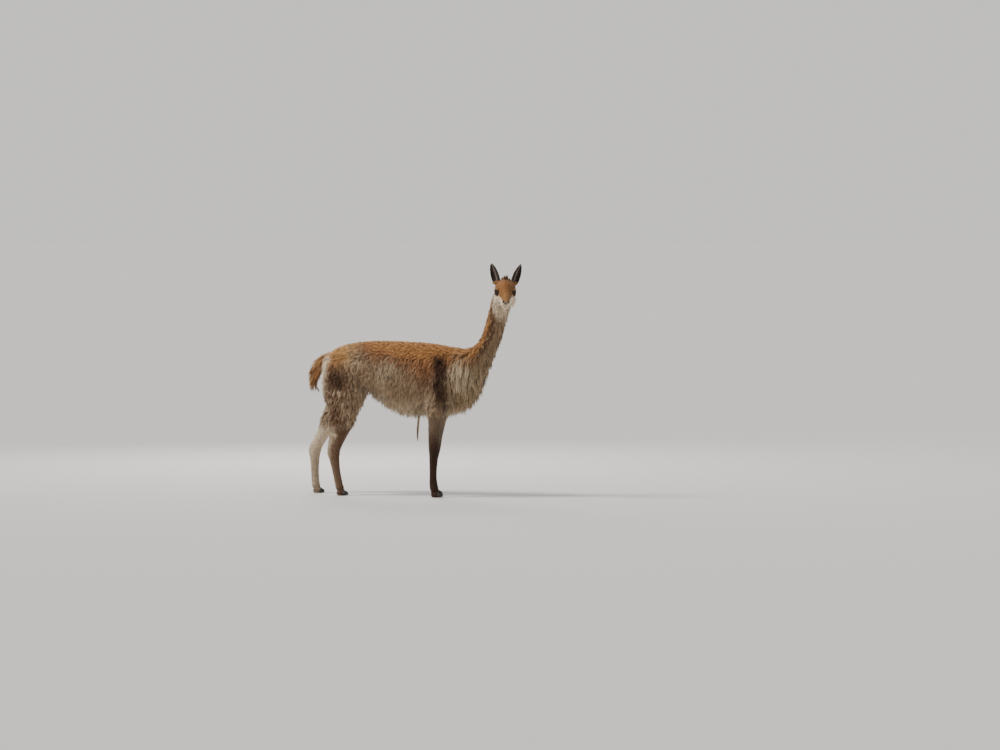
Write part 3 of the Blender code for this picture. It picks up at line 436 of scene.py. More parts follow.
def set_colours(mesh, colours):
    """One colour for each vertex, in the layer that the materials read."""
    rgba = np.concatenate([colours, np.ones((len(colours), 1))], axis=1)
    layer = mesh.color_attributes.new("Coat", "FLOAT_COLOR", "POINT")
    layer.data.foreach_set("color", rgba.ravel().astype(np.float32))


def unit(rows):
    """The rows at length 1."""
    return rows / np.maximum(np.linalg.norm(rows, axis=-1, keepdims=True), 1e-9)


def in_head(places):
    """The places in the head's frame."""
    return (places - HEAD_ORIGIN) @ HEAD_TURN


def section(middle, out, around, thick, sides, tall=1.0):
    """Points round one place of a roll, which is `tall` times as thick along `out`."""
    turns = (math.tau * k / sides for k in range(sides))
    return [middle + (out * (tall * math.sin(t)) + around * math.cos(t)) * thick for t in turns]


def mirrored(place, side):
    """The place on one side of the head, from that on its left."""
    return Vector((place[0], side * place[1], place[2]))


def apply_modifiers(obj):
    """Puts what the modifiers make into the object's own mesh."""
    bpy.context.view_layer.update()
    graph = bpy.context.evaluated_depsgraph_get()
    made = bpy.data.meshes.new_from_object(obj.evaluated_get(graph))
    obj.modifiers.clear()
    old = obj.data
    obj.data = made
    bpy.data.meshes.remove(old)


def join_or_cut(obj, others, operation):
    """One Boolean of the object and a collection of others, which are then removed."""
    group = bpy.data.collections.new("operands")
    bpy.context.scene.collection.children.link(group)
    for other in others:
        bpy.context.scene.collection.objects.unlink(other)
        group.objects.link(other)
    boolean = obj.modifiers.new(operation.title(), "BOOLEAN")
    boolean.operation = operation
    boolean.operand_type = "COLLECTION"
    boolean.collection = group
    boolean.solver = "MANIFOLD"
    apply_modifiers(obj)
    for other in others:
        bpy.data.objects.remove(other)
    bpy.data.collections.remove(group)


def inset(value, depth, least):
    """A size less the coat's depth, but never under the least."""
    return max(value - depth, min(value, least))


def torso_rings():
    rings = []
    for x, top, bottom, width, widest in smoothed(TORSO):
        rise = inset(top - widest, WOOL_DEPTH, 0.012)
        fall = inset(widest - bottom, CORE_DEPTH, 0.012)
        half = inset(width, SIDE_DEPTH, 0.014)
        rings.append(ring(Vector((x * 0.985, 0, widest)), Z, Y, rise, fall, half))
    return rings


def ways_along(centres):
    """The way of a curve at each of its centres."""
    last = len(centres) - 1
    pairs = [(centres[max(i - 1, 0)], centres[min(i + 1, last)]) for i in range(last + 1)]
    return [(end - start).normalized() for start, end in pairs]


def neck_rings():
    """Rings square to the neck's own line."""
    rows = smoothed(NECK)
    centres = [Vector(row[:3]) for row in rows]
    rings = []
    for row, centre, along in zip(rows, centres, ways_along(centres)):
        back = (Y.cross(along) * -1).normalized()
        sizes = [inset(size, NECK_DEPTH, 0.020) for size in row[3:6]]
        rings.append(ring(centre, back, Y, *sizes))
    return rings


def leg_rings(stations):
    """Level rings, with more room for the coat on the thigh than on the shank."""
    rings = []
    for z, x, y, length, width in smoothed(stations):
        wool = min(1, max(0, (z - 0.30) / 0.15))
        depth = SHANK_DEPTH + (THIGH_DEPTH - SHANK_DEPTH) * wool
        if z < 0.06:
            depth = 0.001
        sizes = [inset(size, depth, 0.018) for size in (length, width)]
        rings.append(ring(Vector((x, y, z)), X, Y, sizes[0], sizes[0], sizes[1]))
    return rings


def tail_rings():
    rows = smoothed(TAIL, 4)
    centres = [Vector((x, 0, z)) for x, z, _, _ in rows]
    rings = []
    for row, centre, along in zip(rows, centres, ways_along(centres)):
        rings.append(ring(centre, Y.cross(along), Y, row[2], row[2], row[3], 16))
    return rings


def add_foot(bm, ankle):
    """Two toes that splay from the ankle's last ring."""
    _, x, y, _, _ = ankle
    for side in (-1, 1):
        turn = Matrix.Rotation(side * TOE_SPLAY, 4, "Z")
        half = TOE_HALF - Vector((0.001, 0.001, 0.0005))
        add_ball(bm, (x + TOE_FORWARD, y + side * TOE_SPREAD, TOE_HEIGHT), half, turn)


def head_rings():
    rings = []
    for x, top, bottom, width, widest in smoothed(HEAD):
        depth = FACE_DEPTH * (0.35 if x > 0.07 else 1)
        sizes = [inset(size, depth, 0.008) for size in (top - widest, widest - bottom, width)]
        rings.append(ring(Vector((x, 0, widest)), Z, Y, *sizes))
    return rings


def add_head(bm):
    """The skull, cheeks, brows, muzzle and lips in the head's frame."""
    add_tube(bm, head_rings())
    fur = Vector((0.5, 1, 1)) * FACE_DEPTH
    for side in (-1, 1):
        for place, half, part in HEAD_PAIRS:
            add_ball(bm, mirrored(place, side), Vector(half) - fur / part)
    add_ball(bm, *CHIN)
    add_ball(bm, *JAW)


def make_flesh():
    """Torso, neck, head, legs and tail as one smooth closed surface, finest on the head."""
    bm = bmesh.new()
    add_head(bm)
    bm.transform(HEAD_MATRIX)
    add_tube(bm, torso_rings())
    add_tube(bm, neck_rings())
    add_tube(bm, tail_rings())
    for leg in LEGS.values():
        add_tube(bm, leg_rings(leg))
        add_foot(bm, leg[-1])
    flesh = mesh_object("skin", bm)
    remesh = flesh.modifiers.new("One surface", "REMESH")
    remesh.mode = "VOXEL"
    remesh.voxel_size = SKIN_VOXEL
    smooth = flesh.modifiers.new("Smooth", "SMOOTH")
    smooth.factor = 0.5
    smooth.iterations = SKIN_SMOOTHING
    apply_modifiers(flesh)
    places = read_vectors(flesh.data.vertices, "co")
    head = in_head(places)
    body = np.flatnonzero(head[:, 0] * HEAD_CUT[1].x + head[:, 2] * HEAD_CUT[1].z < BODY_LIMIT)
    group = flesh.vertex_groups.new(name="body")
    group.add(body.tolist(), 1.0, "REPLACE")
    fewer = flesh.modifiers.new("Fewer", "DECIMATE")
    fewer.vertex_group = "body"
    fewer.use_collapse_triangulate = True
    flesh.data.calc_loop_triangles()
    total = len(flesh.data.loop_triangles)
    fewer.ratio = (BODY_TRIANGLES + total * (1 - len(body) / len(places))) / total
    apply_modifiers(flesh)
    return flesh


def read_vectors(items, name, size=3):
    values = np.empty(len(items) * size, np.float32)
    items.foreach_get(name, values)
    return values.reshape(-1, size).astype(float)


def gaze_axes(side):
    """The way one eye looks, with the ways up and ahead across it, in the head's frame."""
    gaze = mirrored(GAZE, side).normalized()
    ahead = (X - gaze * gaze.dot(X)).normalized()
    rise = gaze.cross(ahead) * side * -1
    return gaze, rise.normalized(), ahead


def eye_centre(side):
    return mirrored(EYE_PLACE, side)


def lid_way(side, angle, wider=1.0):
    """From the eye's centre to the edge of the lids at an angle round the opening."""
    gaze, rise, ahead = gaze_axes(side)
    tall = math.sin(LID_RISE if math.sin(angle) > 0 else LID_FALL) * wider
    tall *= abs(math.sin(angle)) ** LID_POINTED
    long = math.sin(LID_HALF_LENGTH) * (0.6 + 0.4 * wider)
    out = ahead * (long * math.cos(angle)) + rise * (tall * math.sin(angle))
    return (gaze * math.sqrt(max(0, 1 - out.length_squared)) + out).normalized(), out.normalized()


def eye_opening(head, side):
    """0 in the middle of an eye's opening, 1 at its edge, and far more away from the eye."""
    gaze, rise, ahead = (np.array(axis) for axis in gaze_axes(side))
    away = head - np.array(eye_centre(side))
    distance = np.linalg.norm(away, axis=1)
    way = away / distance[:, None]
    up = way @ rise
    tall = np.where(up > 0, math.sin(LID_RISE), math.sin(LID_FALL))
    spread = np.hypot(way @ ahead / math.sin(LID_HALF_LENGTH), up / tall)
    return np.where((way @ gaze > 0) & (distance < EYE_RADIUS + 0.007), spread, 9.0)


def make_lids(side):
    """The rim of both lids: one almond-shaped roll round the open part of the eye."""
    rolls = []
    for i in range(LID_POINTS):
        angle = math.tau * i / LID_POINTS
        way, around = lid_way(side, angle)
        heavy = LID_HEAVY if math.sin(angle) > 0 else LID_LIGHT
        thick = LID_THICK * heavy * (0.75 + 0.25 * abs(math.sin(angle)))
        middle = eye_centre(side) + way * (EYE_RADIUS + 0.15 * thick)
        rolls.append(section(middle, way, around, thick, 10))
    return tube_object("lids", rolls, True)


def make_lid_folds(side):
    """The soft flesh of both lids round their rim, which carries them into brow and cheek."""
    rolls = []
    for i in range(LID_POINTS):
        angle = math.tau * i / LID_POINTS
        way, around = lid_way(side, angle, 1.30)
        thick = FOLD_UPPER if math.sin(angle) > 0 else FOLD_LOWER
        middle = eye_centre(side) + way * (EYE_RADIUS - FOLD_SUNK)
        rolls.append(section(middle, way, around, thick, 14))
    return tube_object("folds", rolls, True)


def make_crease(side):
    """What is cut away for the fold above the upper lid."""
    rolls = []
    for i in range(18):
        angle = math.pi * (0.06 + 0.88 * i / 17)
        way, around = lid_way(side, angle, 1.34)
        thick = 0.0013 * math.sin(math.pi * (0.08 + 0.84 * i / 17))
        middle = eye_centre(side) + way * (EYE_RADIUS + 0.0032)
        rolls.append(section(middle, way, around, thick, 8, 2.2))
    return tube_object("crease", rolls)


def make_socket(side):
    return ball_object("socket", eye_centre(side), (EYE_RADIUS + SOCKET_ROOM,) * 3, None, 32, 20)


def nostril_turn(side):
    yaw = Matrix.Rotation(side * NOSTRIL_YAW, 4, "Z")
    return yaw @ Matrix.Rotation(side * NOSTRIL_SLANT, 4, "X")


def from_nostril(head, side):
    """How far places lie from a nostril's slot, measured less along the slot than across it."""
    turn = np.array(nostril_turn(side).to_3x3())
    local = (head - np.array(mirrored(NOSTRIL_PLACE, side))) @ turn
    return np.linalg.norm(local / np.array((1.3, 0.72, 1.25)), axis=1)


def make_nostril(side):
    """What is cut away for a nostril: a slanting slot."""
    return ball_object("nostril", mirrored(NOSTRIL_PLACE, side), NOSTRIL_HALF, nostril_turn(side))


def make_nostril_rim(side):
    """The raised wing round a nostril."""
    rolls = []
    for i in range(20):
        angle = math.tau * i / 20
        around = Vector((0, math.cos(angle), math.sin(angle)))
        across = Vector((0, RIM_HALF[0] * math.cos(angle), RIM_HALF[1] * math.sin(angle)))
        rolls.append(section(across, X, around, RIM_THICK, 8))
    shift = Matrix.Translation(Vector((0.0005, 0, 0)))
    place = HEAD_MATRIX @ Matrix.Translation(mirrored(NOSTRIL_PLACE, side))
    return tube_object("rim", rolls, True, place @ nostril_turn(side) @ shift)


def make_mouth():
    """What is cut away for the line of the mouth: a thin bent plate from the front back."""
    half, gap = MOUTH_HALF_WIDTH, MOUTH_GAP / 2
    corners = ((-half, -gap), (half, -gap), (half, gap), (-half, gap))
    rings = [[Vector((x, y, z + up)) for y, up in corners] for x, z in MOUTH_LINE]
    return tube_object("mouth", rings)


def make_cleft():
    """What is cut away for the cleft of the upper lip."""
    return ball_object("cleft", CLEFT_PLACE, CLEFT_HALF, None, 16, 12)


def ear_matrix(side):
    """From an ear's own frame, where +Z is its length and +X its opening, into the head's."""
    lean = mirrored(EAR_LEAN, side)
    turn = lean.to_track_quat("Z", "Y").to_matrix().to_4x4()
    ahead = turn.to_3x3().inverted() @ X
    turn = turn @ Matrix.Rotation(math.atan2(ahead.y, ahead.x), 4, "Z")
    turn = turn @ Matrix.Rotation(side * EAR_TURN, 4, "Z")
    return Matrix.Translation(mirrored(EAR_PLACE, side)) @ turn


def make_ear(side):
    """A cupped leaf with a thick root, open to the front and a little outwards."""
    rings = []
    for step in range(EAR_STEPS + 1):
        t = step / EAR_STEPS
        swell = math.sin(math.pi * (0.26 + 0.74 * t)) ** EAR_FULLNESS if t < 1 else 0
        width = EAR_HALF_WIDTH * max(swell, 0.07)
        depth = EAR_CUP * max(swell, 0.10) * (1.1 - 0.5 * t)
        wall = EAR_WALL * (1.4 - 0.9 * t)
        inner_width = max(width - wall * 0.55, width * 0.35)
        open_cup = min(1, t * 4)
        outer, inner = [], []
        for i in range(EAR_ARC):
            angle = math.pi * i / (EAR_ARC - 1)
            across, back = -math.cos(angle), math.sin(angle)
            outer.append(Vector((-depth * back - wall * 0.3, width * across, EAR_LENGTH * t)))
            hollow = (depth * back - wall * back) * open_cup - wall * 0.5
            inner.append(Vector((-hollow, inner_width * across, EAR_LENGTH * t)))
        rings.append(outer + inner[::-1])
    matrix = HEAD_MATRIX @ ear_matrix(side)
    ear = tube_object("ear", rings, False, matrix)
    root = ball_object("root", EAR_ROOT_PLACE, EAR_ROOT_HALF, None, 20, 14, matrix)
    join_or_cut(ear, [root], "UNION")
    return ear


def in_ear(places, side):
    """The places in one ear's frame, with the turn into it."""
    matrix = HEAD_MATRIX @ ear_matrix(side)
    turn = np.array(matrix.to_3x3())
    return (places - np.array(matrix.translation)) @ turn, turn


def make_skin():
    """The whole skin: the flesh with its ears, lids and nose, less sockets, nostrils and mouth."""
    skin = make_flesh()
    added = (make_lid_folds, make_lids, make_ear, make_nostril_rim)
    join_or_cut(skin, [make(side) for make in added for side in (-1, 1)], "UNION")
    cut = [make(side) for make in (make_socket, make_crease, make_nostril) for side in (-1, 1)]
    join_or_cut(skin, cut + [make_mouth(), make_cleft()], "DIFFERENCE")
    shade_smooth(skin.data)
    for vertex in skin.data.vertices:
        vertex.co.z = max(vertex.co.z, 0)
    return skin


def ease(low, high, value):
    """0 below `low`, 1 above `high` and smooth between."""
    t = np.clip((value - low) / (high - low), 0, 1)
    return t * t * (3 - 2 * t)


def hump(middle, half, value):
    """1 at `middle`, falling to 0 at `half` to either side."""
    return 1 - ease(0, 1, np.abs(value - middle) / half)


def wobble(places, size, seed):
    """A smooth random value, about -1 to 1, that varies over `size` metres."""
    rng = np.random.default_rng(seed)
    ways = rng.normal(size=(3, 7))
    ways *= math.tau / size * rng.uniform(0.6, 1.5, 7) / np.linalg.norm(ways, axis=0)
    return np.sin(places @ ways + rng.uniform(0, math.tau, 7)).mean(axis=1) * 2.0


def along_curve(stations, at, columns):
    """Columns of a table of stations at the values `at` of its first column, which may fall."""
    table = np.array(stations)
    order = np.argsort(table[:, 0])
    return [np.interp(at, table[order, 0], table[order, column]) for column in columns]


def neck_centre(z):
    """The x and y of the neck's middle at each height."""
    return along_curve([(row[2], row[0], row[1]) for row in NECK], z, (1, 2))


def zone_weights(places, normals):
    """How far each place belongs to each zone of the coat. The weights add up to 1."""
    x, y, z = places.T
    head = in_head(places)
    u, v, w = head.T
    face = ease(-0.012, 0.016, (u - HEAD_CUT[0].x) * 0.82 + (w - HEAD_CUT[0].z) * 0.57)
    ear, _ = ear_places(places, normals)
    eye = np.minimum(
        np.linalg.norm(head - np.array(eye_centre(-1)), axis=1),
        np.linalg.norm(head - np.array(eye_centre(1)), axis=1),
    )
    muzzle = np.maximum(ease(0.050, 0.085, u), 1 - ease(0.018, 0.027, eye)) * face
    crown = hump(-0.044, 0.030, u) * hump(0, 0.030, v) * ease(0.045, 0.058, w) * (1 - ear)
    cheek = ease(0.005, 0.030, -w - 0.2 * (u + 0.04)) * (1 - ease(0.02, 0.05, u)) * face
    neck_side = ease(-0.02, 0.03, (x - NECK_CUT[0].x) * 0.74 + (z - NECK_CUT[0].z) * 0.67)
    neck_side = neck_side * ease(0.74, 0.80, z)
    centre, _ = neck_centre(z)
    throat = ease(-0.3, 0.5, normals[:, 0]) * ease(-0.01, 0.03, x - centre)
    hind_near = x < -0.15
    leg_top = np.where(hind_near, 0.40, 0.47)
    leg = 1 - ease(leg_top - 0.05, leg_top + 0.03, z)
    foot = 1 - ease(0.035, 0.06, z)
    tail = ease(0.455, 0.480, -x) * ease(0.55, 0.60, z)
    tail = np.maximum(tail, ease(0.43, 0.47, -x) * ease(0.72, 0.76, z))
    thigh_front = -0.20 - 0.25 * (0.60 - z)
    thigh = ease(-0.02, 0.03, thigh_front - x) * (1 - ease(0.66, 0.76, z))
    belly = ease(0.45, 0.85, -normals[:, 2]) * (1 - ease(0.56, 0.62, z))
    chest = ease(0.29, 0.37, x + 0.15 * (0.68 - z)) * (1 - ease(0.78, 0.83, z))
    back = ease(0.25, 0.72, normals[:, 2]) * ease(0.70, 0.78, z)
    weights, left = {}, np.ones(len(places))
    order = (
        ("ear", ear), ("muzzle", muzzle), ("crown", crown), ("cheek", cheek), ("head", face),
        ("foot", foot), ("tail", tail), ("throat", neck_side * throat), ("neck", neck_side),
        ("leg", leg), ("thigh", thigh), ("belly", belly), ("chest", chest), ("back", back),
        ("flank", np.ones(len(places))),
    )
    for name, share in order:
        weights[name] = left * share
        left = left * (1 - share)
    return weights


def ear_places(places, normals):
    """How far each place belongs to an ear, and how far it lies on the ear's inside."""
    on_ear, inside = np.zeros(len(places)), np.zeros(len(places))
    for side in (-1, 1):
        local, turn = in_ear(places, side)
        near = (local[:, 2] < EAR_LENGTH + 0.01) & (np.hypot(local[:, 0], local[:, 1]) < EAR_REACH)
        here = ease(0.006, 0.016, local[:, 2]) * near
        on_ear = np.maximum(on_ear, here)
        inside = np.maximum(inside, here * ease(0.05, 0.35, (normals @ turn)[:, 0]))
    return on_ear, inside


def neck_line(z):
    """The neck's own direction, from the head down, at each height."""
    heights = [row[2] for row in NECK]
    ways = [-way for way in ways_along([Vector(row[:3]) for row in NECK])]
    return np.stack([np.interp(z, heights, [way[k] for way in ways]) for k in range(3)], axis=1)


def lie_of_coat(places, normals, weights):
    """The way in which the coat lies, along the skin."""
    x, y, z = places.T
    ones = np.ones(len(places))
    side = np.sign(y)

    def way(a, b, c):
        return unit(np.stack([a * ones, b * ones, c * ones], axis=1))

    def head_way(a, b, c):
        return way(a, b, c) @ HEAD_TURN.T

    head = in_head(places)
    head_side = np.sign(head[:, 1])
    ears = np.zeros((len(places), 3))
    for ear_side in (-1, 1):
        lean = np.array((HEAD_MATRIX @ ear_matrix(ear_side)).to_3x3() @ Z)
        ears[head_side == ear_side] = lean
    lies = {
        "back": way(-0.95, 0.25 * side, -0.25),
        "flank": way(-0.34, 0, -1),
        "belly": way(-0.75, 0, -0.6),
        "chest": way(-0.16, 0.5 * y, -1),
        "neck": neck_line(z),
        "throat": neck_line(z),
        "crown": head_way(0.7, 6 * head[:, 1], 0.5),
        "head": head_way(-1, 0.15 * head_side, -0.05),
        "cheek": head_way(-0.75, 0.1 * head_side, -0.65),
        "muzzle": head_way(-1, 0.25 * head_side, -0.15),
        "ear": ears,
        "thigh": way(-0.25, 0, -1),
        "leg": way(-0.05, 0, -1),
        "foot": way(0.35, 0, -1),
        "tail": way(-0.25, 0.15 * side, -1),
    }
    lie = sum(weights[name][:, None] * lies[name] for name in COAT)
    lie += 0.10 * np.stack([wobble(places, 0.11, seed) for seed in (1, 2, 3)], axis=1)
    lie -= normals * (lie * normals).sum(axis=1, keepdims=True)
    return unit(lie)


def of_zone(weights, column):
    return sum(weights[name] * COAT[name][column] for name in COAT)


def mix(colour, other, share):
    return colour + (np.array(other) - colour) * share[:, None]


def coat_colour(places, normals, weights):
    """The markings, with some painted shade and light among them: one colour for each place, the
    same for skin and tufts.
    """
    x, y, z = places.T
    head = in_head(places)
    u, v, w = head.T
    patchy = wobble(places, 0.10, 21)
    fine = wobble(places, 0.035, 22)
    colour = np.tile(np.array(FLANK), (len(places), 1))

    def paint(other, share):
        colour[:] = mix(colour, other, share)

    def specks(low, high, size, seed, tall=1.0):
        return ease(low, high, wobble(places * np.array((1, 1, tall)), size, seed))

    paint(CREAM, 0.35 * specks(-0.4, 1.2, 0.16, 23))

    # The tawny cover of the back, over a band of mottled rust and brown
    edge = np.interp(
        x,
        (-0.45, -0.36, -0.29, -0.24, -0.15, 0.00, 0.14, 0.24, 0.33, 0.42),
        (0.700, 0.770, 0.825, 0.840, 0.800, 0.775, 0.755, 0.740, 0.765, 0.775),
    )
    edge = edge + 0.010 * patchy + 0.008 * fine
    mottled = specks(-0.7, 0.7, 0.022, 27)
    paint(BROWN, 0.30 * mottled * ease(-0.110, -0.020, z - edge))
    paint(RUST, ease(-0.050, 0.020, z - edge) * (0.70 + 0.30 * mottled))
    paint(BROWN, 0.55 * mottled * hump(0.000, 0.050, z - edge))
    paint(TAWNY, ease(0.000, 0.055, z - edge + 0.012 * mottled))
    rump = ease(0.17, 0.31, -x) * ease(-0.120, -0.020, z - edge) * (1 - weights["tail"])
    paint(GOLD, 0.85 * rump)
    paint(RUST, 0.55 * rump * hump(-0.35, 0.10, x) * hump(0.750, 0.090, z))
    flecks = specks(0.0, 0.7, 0.030, 32) * hump(-0.22, 0.10, x) * hump(0.765, 0.070, z)
    paint(CREAM, 0.50 * flecks)
    saddle = hump(0.17, 0.13, x) * hump(0.725, 0.095, z)
    paint(RUST, 0.75 * saddle)

    # Chest and belly, and the dark band behind the shoulder, which is partly a dark brown marking
    # and partly painted shade
    bib = ease(0.25, 0.75, weights["chest"] + 0.35 * patchy + 0.2 * fine)
    # The bib's cream is darkened as painted shade
    paint(BIB_IN_SHADE, 0.85 * bib * (1 - ease(-0.02, 0.04, z - edge)))
    paint(RUSTY_BROWN, 0.45 * bib * hump(0.585, 0.110, z) * mottled)
    paint(CREAM, 0.5 * weights["belly"])
    # Behind the shoulder, on both sides: a wide rusty brown area with the darkest band in it,
    # partly coat colour and partly painted shade
    before = ease(0.0, 0.7, hump(0.205, 0.110, x + 0.010 * patchy)) * hump(0.665, 0.140, z)
    paint(RUSTY_BROWN, 0.78 * before * (0.75 + 0.25 * mottled))
    at = x + 0.06 * (z - 0.66) + 0.010 * fine + 0.008 * patchy
    dark_band_and_shade = ease(0.0, 0.80, hump(0.268, 0.056, at))
    dark_band_and_shade = dark_band_and_shade * ease(0.44, 0.60, z) * (1 - ease(0.765, 0.820, z + 0.01 * fine))
    paint(BAND, dark_band_and_shade * (0.82 + 0.18 * mottled))
    shoulder = ease(0, 0.8, hump(0.372, 0.100, x) * hump(0.715, 0.095, z))
    paint(CREAM, 0.66 * shoulder * (0.8 + 0.2 * fine))

    # Thigh: dark patch, brown and cream curls, pale hind edge
    thigh = weights["thigh"]
    patch = hump(-0.338, 0.105, x + 0.1 * (z - 0.65) + 0.012 * fine)
    patch = patch * hump(0.662, 0.125, z + 0.012 * fine)
    paint(RUSTY_BROWN, 0.6 * ease(0.0, 0.45, patch))
    paint(BAND, ease(0.15, 0.95, patch) * (0.62 + 0.30 * mottled))
    curls = specks(-0.3, 0.5, 0.050, 24) * (1 - ease(0.60, 0.66, z))
    middle = hump(-0.33, 0.11, x + 0.15 * (z - 0.5))
    paint(RUSTY_BROWN, 0.90 * thigh * curls * middle)
    tufted = specks(0.0, 0.8, 0.024, 29, 0.6) * (1 - ease(0.58, 0.64, z))
    paint(CREAM, 0.75 * thigh * tufted * (1 - ease(-0.29, -0.25, x)))
    hind = ease(0.372, 0.425, -x + 0.16 * (z - 0.70)) * ease(0.45, 0.55, z) * (1 - weights["tail"])
    paint(WHITE, 0.95 * hind * (1 - ease(0.76, 0.80, z)))

    # Legs: the hind pair grey-fawn, whiter on the left, the front pair dark below the knee. Painted
    # shade darkens the right foreleg and the front of the right hind leg, and painted light
    # brightens the backs of the hind legs
    legs = weights["leg"] + weights["foot"]
    rear = legs * (x < -0.10)
    paint(LEG_GREY, rear * 0.85)
    streak = specks(-0.2, 0.8, 0.05, 25, 0.4)
    middle, = along_curve(HIND_LEG_RIGHT, z, (1,))
    forward = (x - middle) / 0.03
    near = y < 0
    gaskin = weights["thigh"] * near * (1 - ease(0.50, 0.58, z)) * hump(-0.345, 0.085, x)
    paint(RUSTY_BROWN, np.maximum(0.85 * gaskin, 0.42 * rear * near))
    # The right hind leg is browner at the front, partly painted shade; both hind legs are paler at
    # the back, partly painted light, with cream knots there
    paint(BROWN, rear * near * (0.55 + 0.30 * streak) * ease(-0.8, 0.4, forward))
    knots = specks(-0.2, 0.8, 0.022, 28, 0.45) * ease(0.16, 0.34, z)
    paint(CREAM, rear * 0.75 * knots * (1 - ease(-0.3, 0.5, forward)))
    paint(CREAM, rear * near * 0.35 * (1 - ease(-0.9, -0.3, forward)))
    paint(WHITE, rear * (0.25 + 0.45 * ease(0.15, 0.32, z)) * (y > 0))
    fore = legs * (x >= -0.10)
    # The right foreleg keeps this dark tan, partly painted shade; the left one is paler grey
    paint(LEG_TAN_IN_SHADE, fore * 0.8)
    below = 1 - ease(0.24, 0.42, z + 0.02 * patchy)
    paint(LEG_GREY, fore * 0.9 * (y > 0))
    paint(LEG_DARK, fore * below * 0.96)
    paint(LEG_DARK, rear * 0.6 * (1 - ease(0.01, 0.06, z)))

    # Tail
    paint(RUST, weights["tail"] * (0.85 + 0.15 * fine))
    paint(TAWNY, weights["tail"] * 0.85 * ease(-0.8, 0.3, -normals[:, 0]))
    paint(CREAM, weights["tail"] * 0.22 * ease(-0.5, 0.8, fine))

    # Neck: rusty nape, sides mottled brown and cream, tan throat that is pale near the head
    centre, middle = neck_centre(z)
    neck = weights["neck"] + weights["throat"]
    turn = math.radians(65) * ease(0.98, 1.10, z)
    across = ((x - centre) * np.cos(turn) - (y - middle) * np.sin(turn)) / 0.055
    paint(NECK_TAN, neck)
    paint(FLANK, neck * 0.80 * ease(0.10, 0.55, across + 0.10 * fine))
    beside = hump(-0.25, 0.62, across + 0.20 * patchy)
    paint(BROWN, neck * 0.95 * beside * specks(-1.0, 0.2, 0.024, 26))
    paint(CREAM, neck * 0.40 * beside * specks(0.1, 0.8, 0.022, 31))
    nape = 1 - ease(-0.55, -0.05, across - 0.20 * ease(0.98, 1.10, z) + 0.15 * fine)
    paint(TAWNY, neck * 0.85 * nape)
    high = ease(0.965, 1.060, z + 0.016 * fine + 0.012 * patchy)
    paint(WHITE, neck * 0.85 * high * ease(-0.05, 0.40, across))

    # Head: tawny cap down to the nose, white cheeks, chin and throat
    on_head = sum(weights[name] for name in ("muzzle", "crown", "cheek", "head"))
    paint(CAP, on_head)
    paint(TAWNY, on_head * 0.45 * ease(0.02, 0.07, u) * (1 - ease(0.008, 0.020, np.abs(v))))
    paint(RUST, on_head * 0.4 * ease(0.0, 0.05, u + 0.05) * ease(0.02, 0.05, w))
    pale_edge = np.interp(
        u,
        (-0.10, -0.05, 0.00, 0.03, 0.06, 0.09, 0.12),
        (-0.022, -0.018, -0.014, -0.011, -0.005, -0.006, -0.008),
    )
    pale = ease(-0.004, 0.008, pale_edge - w + 0.002 * fine)
    paint(WHITE, on_head * pale)
    under_eye = hump(0.034, 0.020, u) * (1 - ease(-0.008, 0.004, w))
    paint(WHITE, on_head * 0.5 * under_eye)
    opening = np.minimum(eye_opening(head, -1), eye_opening(head, 1))
    paint(SHADE, on_head * (1 - ease(1.17, 1.36, opening)))
    nostril = np.minimum(from_nostril(head, -1), from_nostril(head, 1))
    nose = 1 - ease(0.0056, 0.0084, nostril)
    cleft = ease(0.108, 0.112, u) * hump(0, 0.006, v) * hump(-0.022, 0.016, w)
    line = hump(-0.0418, 0.0036, w) * ease(0.066, 0.074, u)
    pad = ease(0.106, 0.110, u) * hump(-0.017, 0.013, w) * (1 - ease(0.006, 0.014, np.abs(v)))
    paint(LEG_DARK, on_head * 0.7 * pad)
    paint(NOSE, np.maximum(np.maximum(nose, 0.9 * cleft), 0.9 * line) * on_head)

    # Ears: grey-brown, dark inside with a pale rim
    on_ear, inside = ear_places(places, normals)
    paint(LEG_GREY, on_ear * 0.8)
    paint(EAR_DARK, inside)
    midline = np.zeros(len(places))
    for side in (-1, 1):
        local, _ = in_ear(places, side)
        stripe = hump(0, 0.007, local[:, 1] + 0.003 * side) * ease(0.005, 0.02, local[:, 2])
        midline = np.maximum(midline, stripe)
    paint(EAR_PALE, 0.8 * midline * inside)
    return np.clip(colour, 0.004, 1)


def scatter(corners, corner_normals, density, rng):
    """Random places on the triangles, with the smooth normals there."""
    area = np.linalg.norm(
        np.cross(corners[:, 1] - corners[:, 0], corners[:, 2] - corners[:, 0]), axis=1
    ) / 2
    count = np.floor(area * density + rng.random(len(corners))).astype(int)
    index = np.repeat(np.arange(len(corners)), count)
    a, b = rng.random((2, len(index)))
    over = a + b > 1
    a[over], b[over] = 1 - a[over], 1 - b[over]
    shares = np.stack([1 - a - b, a, b], axis=1)[:, :, None]
    places = (corners[index] * shares).sum(axis=1)
    normals = (corner_normals[index] * shares).sum(axis=1)
    return places, unit(normals)


def bare(places, normals):
    """Where no coat grows: the eyes and their rims, nostrils, lips, ear cups and soles."""
    _, inside = ear_places(places, normals)
    head = in_head(places)
    u, v, w = head.T
    gone = places[:, 2] < 0.010
    for side in (-1, 1):
        gone |= eye_opening(head, side) < 1.19
        gone |= from_nostril(head, side) < 0.0072
        local, _ = in_ear(places, side)
        cup = (np.abs(local[:, 1]) < 0.014) & (np.abs(local[:, 1]) > 0.0035) & (local[:, 2] > 0.020)
        gone |= cup & (local[:, 2] < 0.085) & (inside > 0.5)
    gone |= (u > 0.111) & (np.abs(w + 0.022) < 0.012) & (np.abs(v) < 0.0022)
    gone |= (u > 0.070) & (np.abs(w + 0.0418) < 0.0030)
    return gone


